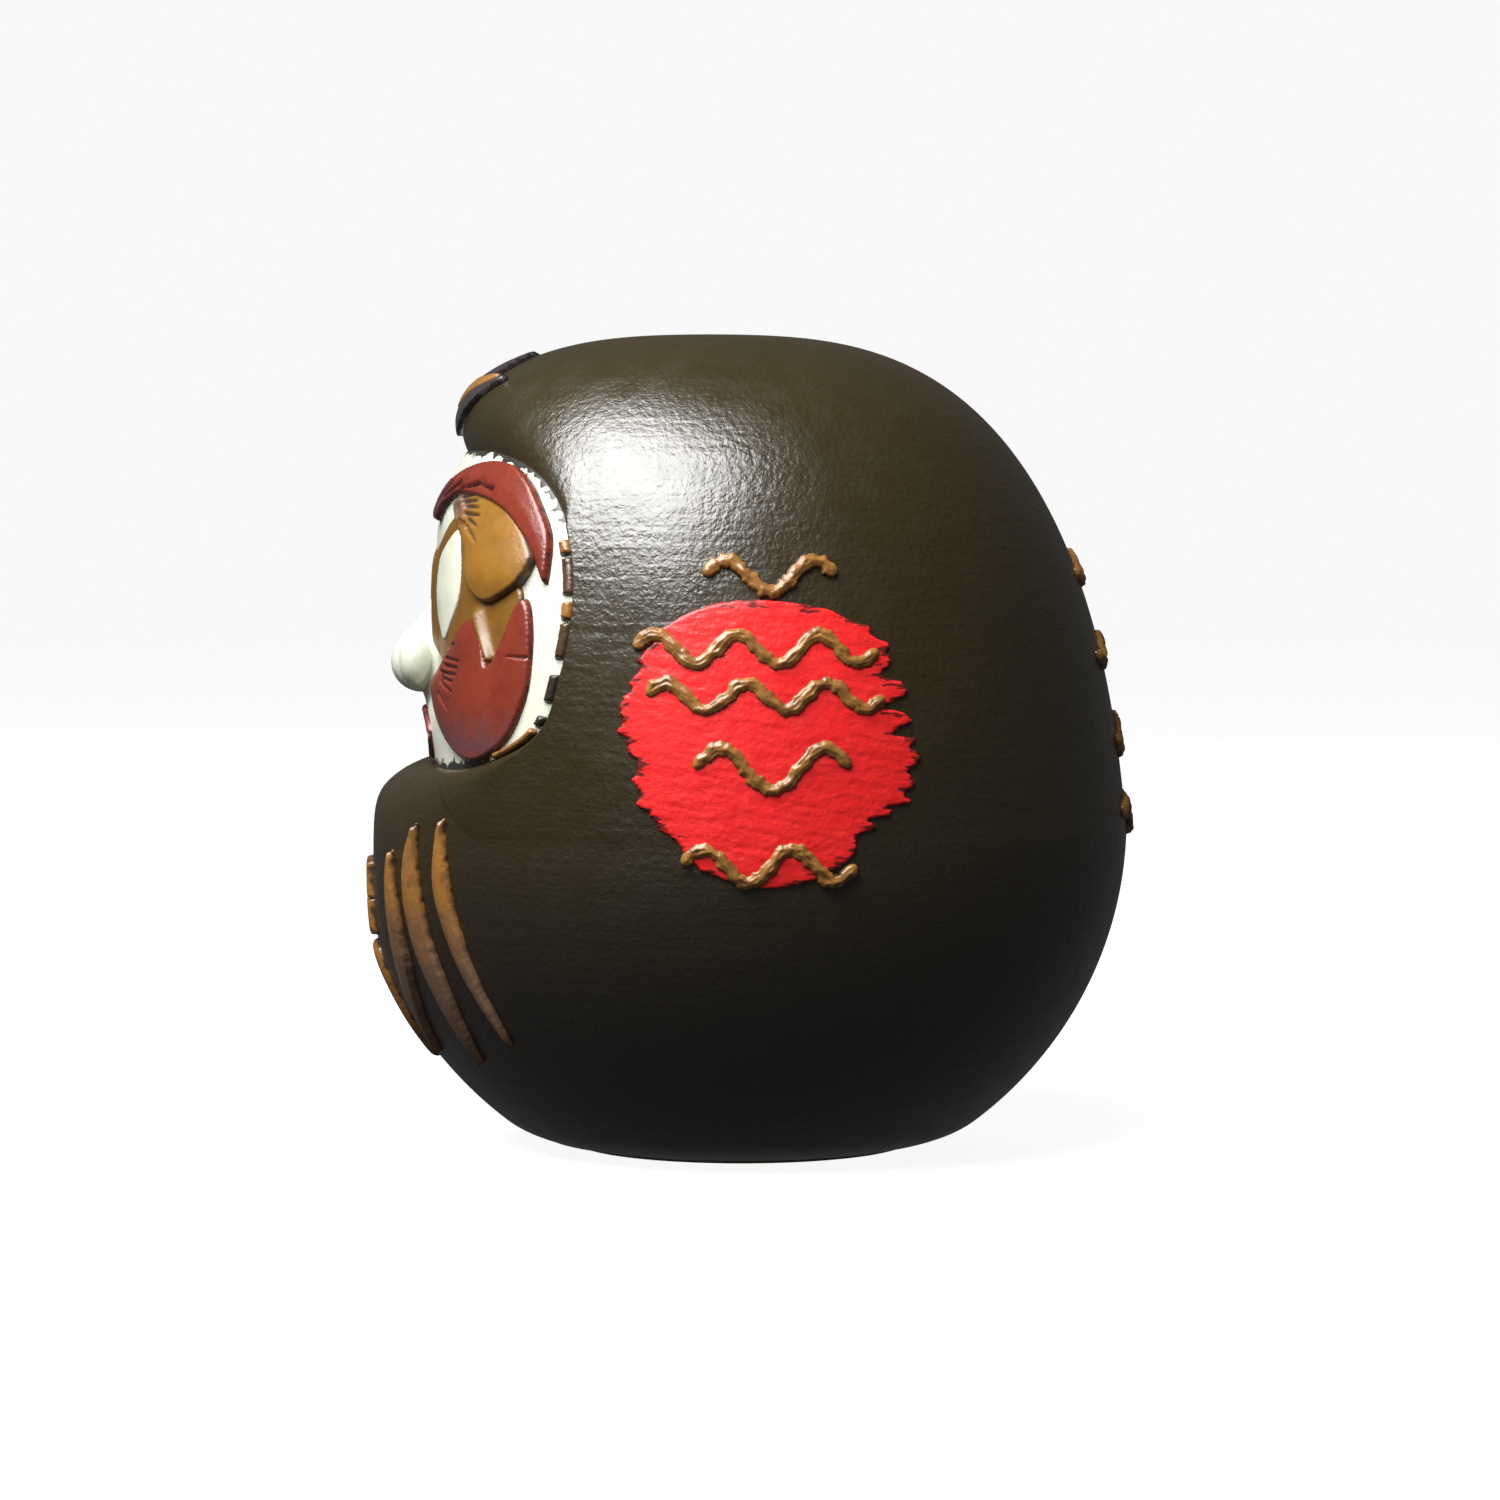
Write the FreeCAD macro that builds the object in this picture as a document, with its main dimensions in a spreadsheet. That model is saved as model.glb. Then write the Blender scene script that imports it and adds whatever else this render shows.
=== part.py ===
import FreeCAD, Part
import Sketcher

import math
import os

# Daruma doll: a hollow egg-shaped body in two shells, a face set in its hood, raised brush strokes
# and a clay weight. Millimetres, +Z up, the face looks along -Y, the doll's left is +X, and the
# origin is at the centre of the flat base.

doc = FreeCAD.newDocument("Daruma")


# ---------------------------------------------------------------- driving dimensions

SIZES = {
    "girth_radius": 71.5,        # the body at its widest
    "girth_height": 60.0,
    "crown_height": 90.0,        # from the girth to the top
    "bowl_depth": 70.0,          # from the girth to where the bowl would close
    "crown_shift": 5.9,          # how far the crown leans to the front
    "wall": 2.5,
    "seam_height": 90.0,
    "lap_height": 10.0,
    "lap_thickness": 0.8,
    "cover_radius": 31.2,
    "cover_thickness": 1.2,
    "weight_top": 16.0,
    "weight_gap": 0.3,
    "dish_radius": 120.0,
    "dish_depth": 3.0,
    "mouth_half_width": 60.7,    # the face opening, seen from the front
    "mouth_centre": 90.0,
    "mouth_rise": 45.0,
    "mouth_drop": 20.5,
    "lip_width": 2.5,            # the wall around the opening
    "chest_top": 69.5,
    "chest_foot": 56.0,          # where the rounded top of the chest starts
    "chest_front": 68.4,
    "chin_depth": 56.5,
    "mask_depth": 56.4,          # the face surface in front of the origin
    "mask_inset": 1.6,
    "mask_wall": 2.4,
    "paint_relief": 0.8,
    "stroke_relief": 1.5,
    "low_relief": 1.2,
    "high_relief": 2.2,
    "sun_radius": 25.3,
    "sun_height": 77.3,
    "stroke_width": 3.1,
    "rib_width": 4.7,
    "block_size": 7.0,
}

sheet = doc.addObject("Spreadsheet::Sheet", "Sizes")
for row, (word, value) in enumerate(SIZES.items(), start=1):
    sheet.set(f"A{row}", word)
    sheet.set(f"B{row}", str(value))
    sheet.setAlias(f"B{row}", word)
doc.recompute()


def size(word):
    """The value of one cell of the sheet."""
    return float(sheet.get(word))


# ---------------------------------------------------------------- small helpers

CLEAR = 200.0                    # longer than anything in the doll
PIECES = []


def piece(obj, name):
    """Names a finished sub-part and lists it for writing."""
    obj.Label = name
    PIECES.append(obj)
    return obj


def boolean(kind, name, base, tool):
    """One Part::Cut, Part::Common or Part::Fuse."""
    result = doc.addObject("Part::" + kind, name)
    result.Base = base
    result.Tool = tool
    return result


def shaped(name, shape):
    """A Part::Feature for a shape made by formula."""
    feature = doc.addObject("Part::Feature", name)
    feature.Shape = shape
    feature.Placement = FreeCAD.Placement()
    return feature


def mirrored(source, name):
    """The same piece on the other side of the doll."""
    twin = doc.addObject("Part::Mirroring", name)
    twin.Source = source
    twin.Normal = FreeCAD.Vector(1, 0, 0)
    return twin


def smooth_loop(points):
    """A closed smooth wire through the points, evenly spaced in the curve's own parameter."""
    curve = Part.BSplineCurve()
    even = [float(step) for step in range(len(points) + 1)]
    curve.interpolate(Points=points, PeriodicFlag=True, Parameters=even)
    return Part.Wire([curve.toShape()])


# ---------------------------------------------------------------- the egg

CROWN_POWER = 3.0                # flattens the top of the crown
CROWN_CURVE = 2.2
LEAN_POWER = 0.8
BOWL_STEPS = 6
CROWN_STEPS = 14
LAST_CROWN_ANGLE = 89.6
SEAM_TURN = 130.0                # the surfaces close on a line where no relief lies


def egg_radius(z):
    """Radius of the outer surface at a height."""
    if z < size("girth_height"):
        drop = (size("girth_height") - z) / size("bowl_depth")
        return size("girth_radius") * math.sqrt(1 - drop ** 2)
    rise = (z - size("girth_height")) / size("crown_height")
    return size("girth_radius") * (1 - rise ** CROWN_CURVE) ** (1 / CROWN_POWER)


def egg_centre(z):
    """How far the centre of the round at a height stands off the Z axis."""
    rise = max(0.0, z - size("girth_height")) / size("crown_height")
    return -size("crown_shift") * rise ** LEAN_POWER


def egg_ring(name, radius, height, shift):
    """One horizontal circle of an egg, bound to the sheet."""
    circle = doc.addObject("Part::Circle", name)
    circle.Placement.Rotation = FreeCAD.Rotation(FreeCAD.Vector(0, 0, 1), SEAM_TURN)
    circle.setExpression("Radius", radius)
    circle.setExpression("Placement.Base.z", height)
    circle.setExpression("Placement.Base.y", shift)
    return circle


def egg(name, grow):
    """A solid egg, larger than the body by grow, which is an expression."""
    rings = []
    for step in range(BOWL_STEPS + 1):
        share = 1 - step / BOWL_STEPS
        rings.append(egg_ring(
            f"{name}_bowl_{step}",
            f"(Sizes.girth_radius + ({grow})) * sqrt(1 - (Sizes.girth_height * {share}"
            f" / (Sizes.bowl_depth + ({grow}))) ^ 2)",
            f"Sizes.girth_height * {1 - share}",
            "0",
        ))
    for step in range(1, CROWN_STEPS + 1):
        angle = math.radians(LAST_CROWN_ANGLE * step / CROWN_STEPS)
        rise = math.sin(angle) ** (2 / CROWN_CURVE)
        narrow = math.cos(angle) ** (2 / CROWN_POWER)
        rings.append(egg_ring(
            f"{name}_crown_{step}",
            f"(Sizes.girth_radius + ({grow})) * {narrow}",
            f"Sizes.girth_height + (Sizes.crown_height + ({grow})) * {rise}",
            f"-Sizes.crown_shift * {rise ** LEAN_POWER}",
        ))
    solid = doc.addObject("Part::Loft", name)
    solid.Sections = rings
    solid.Solid = True
    solid.Ruled = False
    return solid


outer_egg = egg("OuterEgg", "0")
inner_egg = egg("InnerEgg", "-Sizes.wall")
paint_egg = egg("PaintEgg", "Sizes.paint_relief")
stroke_egg = egg("StrokeEgg", "Sizes.stroke_relief")
paint_layer = boolean("Cut", "PaintLayer", paint_egg, outer_egg)
stroke_layer = boolean("Cut", "StrokeLayer", stroke_egg, outer_egg)


# ---------------------------------------------------------------- the face opening

TOP_POWER = 2.5
BOTTOM_POWER = 4.2
OUTLINE_STEPS = 36
CUTTER_BACK = 24.0               # the opening is cut from here, in front of the origin
CUTTER_FRONT = 90.0
CHEST_ANGLES = (0, 25, 45, 62, 76, 90)


def opening_wire(y, bottom, grow):
    """The opening seen from the front: two half superellipses."""
    half_width = size("mouth_half_width") + grow
    points = []
    for step in range(OUTLINE_STEPS):
        angle = 2 * math.pi * step / OUTLINE_STEPS
        cosine = math.cos(angle)
        sine = math.sin(angle)
        power = TOP_POWER if sine >= 0 else BOTTOM_POWER
        reach = size("mouth_rise") if sine >= 0 else size("mouth_centre") - bottom
        reach += grow
        x = half_width * math.copysign(abs(cosine) ** (2 / power), cosine)
        z = size("mouth_centre") + reach * math.copysign(abs(sine) ** (2 / power), sine)
        points.append(FreeCAD.Vector(x, y, z))
    return smooth_loop(points)


def chest_height(depth):
    """Height of the rounded top of the chest at a depth in front of the origin."""
    across = (depth - size("chin_depth")) / (size("chest_front") - size("chin_depth"))
    across = min(max(across, 0.0), 1.0)
    return size("chest_foot") + (size("chest_top") - size("chest_foot")) * math.sqrt(1 - across ** 2)


def opening_cutter(name, grow):
    """The space in front of the face, flared at the bottom over the chest."""
    span = size("chest_front") - size("chin_depth")
    depths = [CUTTER_BACK]
    depths += [size("chin_depth") + span * math.sin(math.radians(angle)) for angle in CHEST_ANGLES]
    depths.append(CUTTER_FRONT)
    wires = [opening_wire(-depth, chest_height(depth), grow) for depth in depths]
    return shaped(name, Part.makeLoft(wires, True, True))


CHEST_LOW = 34.0                 # the front of the chest is flat from below here to its rounded top
CHEST_LAP = 4.0                  # how far the flat runs into the rounded top


def chest_block(name, front):
    """Everything in front of a flat plane across the chest; front is an expression."""
    block = doc.addObject("Part::Box", name)
    block.Length = CLEAR
    block.Width = CLEAR
    block.setExpression("Height", f"Sizes.chest_foot + {CHEST_LAP} - {CHEST_LOW}")
    block.Placement.Base = FreeCAD.Vector(-CLEAR / 2, -CLEAR, CHEST_LOW)
    block.setExpression("Placement.Base.y", f"-{CLEAR} - ({front})")
    return block


mouth_space = opening_cutter("MouthSpace", 0.0)
mouth = boolean("Fuse", "Mouth", mouth_space, chest_block("ChestPlane", "Sizes.chest_front"))
mouth_lined = opening_cutter("MouthLined", size("lip_width"))
chest_lined = chest_block("ChestLined", "Sizes.chest_front - Sizes.wall")
mouth_wall = boolean("Fuse", "MouthWall", mouth_lined, chest_lined)


# ---------------------------------------------------------------- the face surface

FACE_BOTTOM = 62.0
FACE_TOP = 138.0
FACE_SECTIONS = 20
BROW_HEIGHT = 112.0              # above it the face leans back under the hood
BROW_LEAN = 0.0205
SIDE_POWER_TOP = 2.4
SIDE_POWER_SLOPE = 0.009
SIDE_POWER_HEIGHT = 120.0


def face_section(z, grow):
    """One horizontal section of the face former: a superellipse."""
    centre = egg_centre(z)
    half_width = egg_radius(z) - size("mask_inset") + grow
    depth = size("mask_depth") - BROW_LEAN * max(0.0, z - BROW_HEIGHT) ** 2 + centre + grow
    power = SIDE_POWER_TOP + SIDE_POWER_SLOPE * (SIDE_POWER_HEIGHT - z)
    points = []
    for step in range(OUTLINE_STEPS):
        angle = 2 * math.pi * step / OUTLINE_STEPS
        cosine = math.cos(angle)
        sine = math.sin(angle)
        x = half_width * math.copysign(abs(cosine) ** (2 / power), cosine)
        y = centre + depth * math.copysign(abs(sine) ** (2 / power), sine)
        points.append(FreeCAD.Vector(x, y, z))
    return smooth_loop(points)


def face_former(name, grow):
    """The closed body whose front is the face surface, grown outwards."""
    span = FACE_TOP - FACE_BOTTOM
    heights = [FACE_BOTTOM + span * step / FACE_SECTIONS for step in range(FACE_SECTIONS + 1)]
    return shaped(name, Part.makeLoft([face_section(z, grow) for z in heights], True, False))


face_solid = face_former("FaceSolid", 0.0)
face_inner = face_former("FaceInner", -size("mask_wall"))
low_solid = face_former("LowSolid", size("low_relief"))
high_solid = face_former("HighSolid", size("high_relief"))
low_layer = boolean("Cut", "LowLayer", low_solid, face_solid)
high_layer = boolean("Cut", "HighLayer", high_solid, face_solid)


# ---------------------------------------------------------------- shells, lap and mask

def slab(name, low, high):
    """A wide block between two heights, which are expressions."""
    block = doc.addObject("Part::Box", name)
    block.Length = CLEAR
    block.Width = CLEAR
    block.setExpression("Height", f"({high}) - ({low})")
    block.Placement.Base = FreeCAD.Vector(-CLEAR / 2, -CLEAR / 2, 0)
    block.setExpression("Placement.Base.z", low)
    return block


ROOM_MARGIN = 1.0                # the room behind the face reaches this far past the wall of the opening
hollow_behind = boolean("Cut", "HollowBehind", inner_egg, mouth_wall)
room_edge = opening_cutter("RoomEdge", size("lip_width") + ROOM_MARGIN)
face_room = boolean("Common", "FaceRoom", face_inner, room_edge)
hollow = boolean("Fuse", "Hollow", hollow_behind, face_room)
walled = boolean("Cut", "Walled", outer_egg, hollow)
body = boolean("Cut", "Body", walled, mouth)

below_seam = slab("BelowSeam", "-Sizes.wall", "Sizes.seam_height")
crown_top = "Sizes.girth_height + Sizes.crown_height + Sizes.wall"
above_seam = slab("AboveSeam", "Sizes.seam_height", crown_top)
shell_lower = piece(boolean("Common", "ShellLower", body, below_seam), "shell_lower")
shell_upper = piece(boolean("Common", "ShellUpper", body, above_seam), "shell_upper")

LAP_FRONT = -26.0                # the lap stops short of the face opening
lap_inner = egg("LapInner", "-Sizes.wall - Sizes.lap_thickness")
lap_ring = boolean("Cut", "LapRing", inner_egg, lap_inner)
lap_slab = slab(
    "LapSlab",
    "Sizes.seam_height - Sizes.lap_height / 2",
    "Sizes.seam_height + Sizes.lap_height / 2",
)
lap_slab.Placement.Base.y = LAP_FRONT
seam_band = piece(boolean("Common", "SeamBand", lap_ring, lap_slab), "seam_band")

mask_plate = boolean("Cut", "MaskPlate", face_solid, face_inner)
face_mask = piece(boolean("Common", "FaceMask", mask_plate, mouth_space), "face_mask")


# ---------------------------------------------------------------- base cover and clay weight

def base_cover_body():
    """The round cover that closes the hole under the doll."""
    cover = doc.addObject("PartDesign::Body", "BaseCoverBody")
    sketch = cover.newObject("Sketcher::SketchObject", "CoverSketch")
    plane = [item for item in cover.Origin.OriginFeatures if item.Role == "XY_Plane"][0]
    sketch.AttachmentSupport = (plane, [""])
    sketch.MapMode = "FlatFace"
    rim = Part.Circle(FreeCAD.Vector(0, 0, 0), FreeCAD.Vector(0, 0, 1), size("cover_radius"))
    sketch.addGeometry(rim, False)
    sketch.addConstraint(Sketcher.Constraint("Coincident", 0, 3, -1, 1))
    radius = sketch.addConstraint(Sketcher.Constraint("Radius", 0, size("cover_radius")))
    sketch.setExpression(f"Constraints[{radius}]", "Sizes.cover_radius")
    pad = cover.newObject("PartDesign::Pad", "CoverPad")
    pad.Profile = sketch
    pad.setExpression("Length", "Sizes.cover_thickness")
    return cover


base_cover = piece(base_cover_body(), "base_cover")

weight_egg = egg("WeightEgg", "-Sizes.wall - Sizes.weight_gap")
weight_slab = slab("WeightSlab", "Sizes.cover_thickness", "Sizes.weight_top")
weight_blank = boolean("Common", "WeightBlank", weight_egg, weight_slab)
dish = doc.addObject("Part::Sphere", "Dish")
dish.setExpression("Radius", "Sizes.dish_radius")
dish.setExpression("Placement.Base.z", "Sizes.weight_top - Sizes.dish_depth + Sizes.dish_radius")
base_weight = piece(boolean("Cut", "BaseWeight", weight_blank, dish), "base_weight")


# ---------------------------------------------------------------- outlines and reliefs

ALONG_X = FreeCAD.Vector(1, 0, 0)
ALONG_Y = FreeCAD.Vector(0, 1, 0)


def front_point(x, z):
    """A point of an outline that is seen from the front."""
    return FreeCAD.Vector(x, 0, z)


def side_point(y, z):
    """A point of an outline that is seen from the side."""
    return FreeCAD.Vector(0, y, z)


def prism(name, wire, direction):
    """The outline pushed out along a direction, as a solid."""
    outline = shaped(name + "Outline", Part.Face(wire))
    push = doc.addObject("Part::Extrusion", name + "Prism")
    push.Base = outline
    push.DirMode = "Custom"
    push.Dir = direction
    push.LengthFwd = CLEAR
    push.Solid = True
    return push


def relief(name, wire, layer, direction, cutters=()):
    """A raised piece: the part of a layer inside an outline, less its neighbours."""
    result = boolean("Common", name, layer, prism(name, wire, direction))
    for number, cutter in enumerate(cutters, start=1):
        result = boolean("Cut", f"{name}Cut{number}", result, cutter)
    return result


def both_sides(obj, name):
    """The left piece and its mirror image on the right."""
    piece(obj, name + "_left")
    piece(mirrored(obj, obj.Name + "Right"), name + "_right")


RIBBON_STEPS = 36
NEARBY = 0.01                    # how far along a stroke its direction is read


def ribbon(centre, width, make_point, tip):
    """A closed brush stroke round the curve centre(t), t from 0 to 1; tip is the share left at its ends."""
    left = []
    right = []
    for step in range(RIBBON_STEPS + 1):
        t = step / RIBBON_STEPS
        a, b = centre(t)
        ahead = centre(min(t + NEARBY, 1.0))
        behind = centre(max(t - NEARBY, 0.0))
        da = ahead[0] - behind[0]
        db = ahead[1] - behind[1]
        length = math.hypot(da, db)
        share = tip + (1 - tip) * (1 - abs(2 * t - 1) ** 6)
        half = width * share / 2
        left.append(make_point(a - db / length * half, b + da / length * half))
        right.append(make_point(a + db / length * half, b - da / length * half))
    upper = Part.BSplineCurve()
    upper.interpolate(left)
    lower = Part.BSplineCurve()
    lower.interpolate(right)
    ends = [Part.makeLine(left[-1], right[-1]), Part.makeLine(right[0], left[0])]
    return Part.Wire([upper.toShape(), ends[0], lower.toShape(), ends[1]])


# ---------------------------------------------------------------- the face

BROW = [(9, 117.5), (13, 121), (20, 124.5), (28, 126.5), (35, 127), (41, 125.8), (46, 123), (50, 119.3),
        (53.5, 114.8), (55.2, 110.5), (56.2, 105), (53.5, 109), (50, 113.5), (44, 118), (36, 120.4),
        (25, 121), (18, 119), (13, 116)]
EYELID = [(25, 119.3), (31, 120), (37, 119.4), (42, 117.8), (47, 114.8), (50.5, 111.6), (52.4, 108.5),
          (52.2, 105.5), (49.5, 102.8), (46, 101.6), (42.2, 103), (38.8, 105.5), (37, 109), (35, 111.8),
          (31, 114.5), (27, 116.8)]
EYE = [(29.5, 113), (32, 110.8), (34.3, 107.2), (35, 104), (34.2, 100.5), (31, 96.8), (25.5, 96),
       (19.5, 97.5), (15.5, 101), (16, 105.5), (20, 110), (25, 112.6)]
SOCKET = [(29, 115.5), (23, 113.2), (17, 109.2), (13, 104), (12.8, 99), (16, 95.5), (22, 94), (30, 95.2),
          (35, 97.8), (41, 99.5), (44.5, 97.6), (46.8, 95), (48.6, 91), (49.8, 95), (51, 99.5), (52.3, 103.5),
          (48, 108), (40, 112), (33, 115.5)]
CHEEK = [(20, 86.5), (27, 89.6), (34, 93.4), (38.4, 97), (43, 99.2), (46, 97.4), (48.9, 90.6), (51.2, 96),
         (52.4, 101), (53.7, 102.8), (55.2, 100.8), (56.6, 96), (57.4, 91), (57.6, 86.5), (56.8, 82),
         (55.2, 78.4), (52, 75.6), (47.5, 74.4), (42, 75.6), (35, 78.6), (27, 82.5)]


def face_outline(points):
    """A smooth closed outline on the left half of the face."""
    return smooth_loop([front_point(x, z) for x, z in points])


brow = relief("Brow", face_outline(BROW), high_layer, -ALONG_Y)
eyelid = relief("Eyelid", face_outline(EYELID), high_layer, -ALONG_Y, [brow])
eye = relief("Eye", face_outline(EYE), low_layer, -ALONG_Y, [eyelid])
cheek = relief("Cheek", face_outline(CHEEK), high_layer, -ALONG_Y)
socket = relief("Socket", face_outline(SOCKET), low_layer, -ALONG_Y, [brow, eyelid, eye, cheek])
both_sides(brow, "brow")
both_sides(eyelid, "eyelid")
both_sides(eye, "eye_white")
both_sides(socket, "eye_socket")
both_sides(cheek, "cheek")

LIP_CENTRE = 76.8
LIP_HALF_WIDTH = 13.0
LIP_HALF_HEIGHT = 5.2
LIP_BAND = 2.2
LIP_STEPS = 24


def lip_loop(inset):
    """An oval round the mouth."""
    points = []
    for step in range(LIP_STEPS):
        angle = 2 * math.pi * step / LIP_STEPS
        x = (LIP_HALF_WIDTH - inset) * math.cos(angle)
        z = LIP_CENTRE + (LIP_HALF_HEIGHT - inset) * math.sin(angle)
        points.append(front_point(x, z))
    return smooth_loop(points)


lip_gap = prism("LipGap", lip_loop(LIP_BAND), -ALONG_Y)
lips = piece(relief("Lips", lip_loop(0.0), low_layer, -ALONG_Y, [lip_gap]), "lips")

# The nose is a bridge of oval sections, a round tip and two wings, set on the face surface.
# Each section of the bridge: height, half width, depth of its centre, reach in front of that.
BRIDGE = [(108.0, 3.4, 54.6, 2.4), (103.0, 4.0, 54.0, 3.6), (97.0, 4.6, 55.6, 6.0), (91.5, 5.0, 57.0, 6.6)]
NOSE_TIP = (0.0, -60.6, 90.0)
NOSE_TIP_RADIUS = 4.3
WING_RADIUS = 3.2
WING = (4.7, -57.6, 89.3)


def nose_shape():
    """Bridge, tip and wings as one solid, before the face surface is cut away."""
    ovals = []
    for z, half_width, depth, reach in BRIDGE:
        oval = Part.Ellipse(FreeCAD.Vector(0, 0, 0), max(reach, half_width), min(reach, half_width))
        wire = Part.Wire([oval.toShape()])
        turn = 90 if reach > half_width else 0
        wire.Placement = FreeCAD.Placement(
            FreeCAD.Vector(0, -depth, z),
            FreeCAD.Rotation(FreeCAD.Vector(0, 0, 1), turn),
        )
        ovals.append(wire)
    solid = Part.makeLoft(ovals, True, False)
    solid = solid.fuse(Part.makeSphere(NOSE_TIP_RADIUS, FreeCAD.Vector(*NOSE_TIP)))
    for side in (-1, 1):
        solid = solid.fuse(Part.makeSphere(WING_RADIUS, FreeCAD.Vector(side * WING[0], WING[1], WING[2])))
    return solid


nose = piece(boolean("Cut", "Nose", shaped("NoseBlank", nose_shape()), face_solid), "nose")

# Short bars of paint along the edge of the opening, from the temple down to the chin.
BAR_SPANS = [(110.2, 112.8), (103.2, 109.8), (98.9, 102.2), (92.2, 98.5), (84.6, 89.6), (80.2, 82.2),
             (74.4, 79.8)]
BAR_EDGE = 0.15
BAR_WIDTH = 2.4
bar_strip = boolean(
    "Cut",
    "BarStrip",
    opening_cutter("BarOuter", -BAR_EDGE),
    opening_cutter("BarInner", -BAR_WIDTH),
)
bar_layer = boolean("Common", "BarLayer", low_layer, bar_strip)
bars = []
for number, (low, high) in enumerate(BAR_SPANS, start=1):
    block = slab(f"BarSlab{number}", str(low), str(high))
    block.Placement.Base.x = 0
    bars.append(boolean("Common", f"Bar{number}", bar_layer, block))
rim_bars = doc.addObject("Part::Compound", "RimBars")
rim_bars.Links = bars
both_sides(rim_bars, "rim_bars")


# ---------------------------------------------------------------- crest and chest

CREST = [(0, 145.2), (5, 143.6), (8, 140.5), (6, 138.6), (0, 137.2), (-6, 138.6), (-8, 140.5), (-5, 143.6)]
FLAME = [(8.6, 140.0), (9.2, 137.5), (6, 136.1), (0, 135.4), (-6, 136.1), (-9.2, 137.5), (-8.6, 140.0),
             (-6, 137.9), (0, 136.5), (6, 137.9)]
crest_wire = smooth_loop([front_point(x, z) for x, z in CREST])
flame_wire = smooth_loop([front_point(x, z) for x, z in FLAME])
crest = relief("Crest", crest_wire, stroke_layer, -ALONG_Y)
piece(crest, "forehead_crest")
piece(relief("Flame", flame_wire, stroke_layer, -ALONG_Y, [crest]), "forehead_flame")

CHEST_BLOCKS = {"chest_block_lower": 43.2, "chest_block_upper": 50.0}
BLOCK_GAP = 0.3
BLOCK_WIDTH = 20.0
BLOCK_RELIEF = 1.4
for name, low in CHEST_BLOCKS.items():
    block = doc.addObject("Part::Box", name.title().replace("_", ""))
    block.Length = BLOCK_WIDTH
    block.Width = BLOCK_RELIEF
    block.setExpression("Height", f"Sizes.block_size - {BLOCK_GAP}")
    block.Placement.Base = FreeCAD.Vector(-BLOCK_WIDTH / 2, 0, low)
    block.setExpression("Placement.Base.y", f"-Sizes.chest_front - {BLOCK_RELIEF}")
    piece(block, name)

TONGUE = [(0, 38.5), (5, 37.4), (6.6, 33), (5.6, 26), (3.2, 20), (0, 16.5), (-3.2, 20), (-5.6, 26),
          (-6.6, 33), (-5, 37.4)]
tongue_wire = smooth_loop([front_point(x, z) for x, z in TONGUE])
piece(relief("Tongue", tongue_wire, stroke_layer, -ALONG_Y), "chest_tongue")

# Three ribs on each side of the chest: top and bottom, each in degrees from the front and in height.
RIB_TIP = 0.1
RIBS = [((23.0, 57.0), (18.0, 19.0)), ((32.5, 62.0), (32.0, 16.0)), ((41.0, 63.0), (46.0, 18.0))]


def rib_centre(top, bottom):
    """The middle of a rib, seen from the front."""
    def centre(t):
        degrees = top[0] + (bottom[0] - top[0]) * t
        z = top[1] + (bottom[1] - top[1]) * t
        return egg_radius(z) * math.sin(math.radians(degrees)), z
    return centre


for number, (top, bottom) in enumerate(RIBS, start=1):
    middle = math.radians((top[0] + bottom[0]) / 2)
    wire = ribbon(rib_centre(top, bottom), size("rib_width") * math.cos(middle), front_point, RIB_TIP)
    rib = relief(f"Rib{number}", wire, stroke_layer, -ALONG_Y)
    piece(rib, f"rib_left_{number}")
    piece(mirrored(rib, f"Rib{number}Right"), f"rib_right_{number}")


# ---------------------------------------------------------------- suns and brush waves

SUN_STEPS = 40
SUN_RIPPLE = 0.7                 # the edge wavers where the brush leaves it, most at the two sides
SUN_RIPPLES = 7


def sun_wire():
    """A painted disc with a wavering edge."""
    points = []
    for step in range(SUN_STEPS):
        angle = 2 * math.pi * step / SUN_STEPS
        reach = size("sun_radius") + SUN_RIPPLE * math.sin(SUN_RIPPLES * angle) * math.cos(angle)
        points.append(side_point(reach * math.cos(angle), size("sun_height") + reach * math.sin(angle)))
    return smooth_loop(points)


sun = relief("Sun", sun_wire(), paint_layer, ALONG_X)
both_sides(sun, "sun")

WAVE_TIP = 0.25

# Each wave: start, end, height, rise of its crests, number of crests. No bend is tighter than its width.
SIDE_WAVES = [(-11.0, 12.0, 106.5, 2.6, 1.5), (-23.0, 19.0, 94.0, 2.4, 3.0), (-21.0, 20.0, 86.0, 2.2, 3.0),
              (-13.0, 14.0, 73.5, 3.6, 1.5), (-15.0, 15.0, 57.0, 2.8, 2.0)]
BACK_WAVES = [(-14.0, 14.0, 107.0, 2.2, 2.0), (-20.0, 20.0, 92.0, 2.1, 3.0), (-16.0, 16.0, 76.5, 3.0, 2.0),
              (-19.0, 19.0, 61.5, 2.7, 2.5)]


def wave_centre(start, end, height, rise, crests):
    """A brush line that goes up and down between two places."""
    def centre(t):
        return start + (end - start) * t, height + rise * math.sin(2 * math.pi * crests * t)
    return centre


for number, wave in enumerate(SIDE_WAVES, start=1):
    wire = ribbon(wave_centre(*wave), size("stroke_width"), side_point, WAVE_TIP)
    stroke = relief(f"Wave{number}", wire, stroke_layer, ALONG_X, [sun])
    piece(stroke, f"wave_left_{number}")
    piece(mirrored(stroke, f"Wave{number}Right"), f"wave_right_{number}")

for number, wave in enumerate(BACK_WAVES, start=1):
    wire = ribbon(wave_centre(*wave), size("stroke_width"), front_point, WAVE_TIP)
    piece(relief(f"BackWave{number}", wire, stroke_layer, ALONG_Y), f"back_wave_{number}")


# ---------------------------------------------------------------- check and write

doc.recompute()

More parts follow.
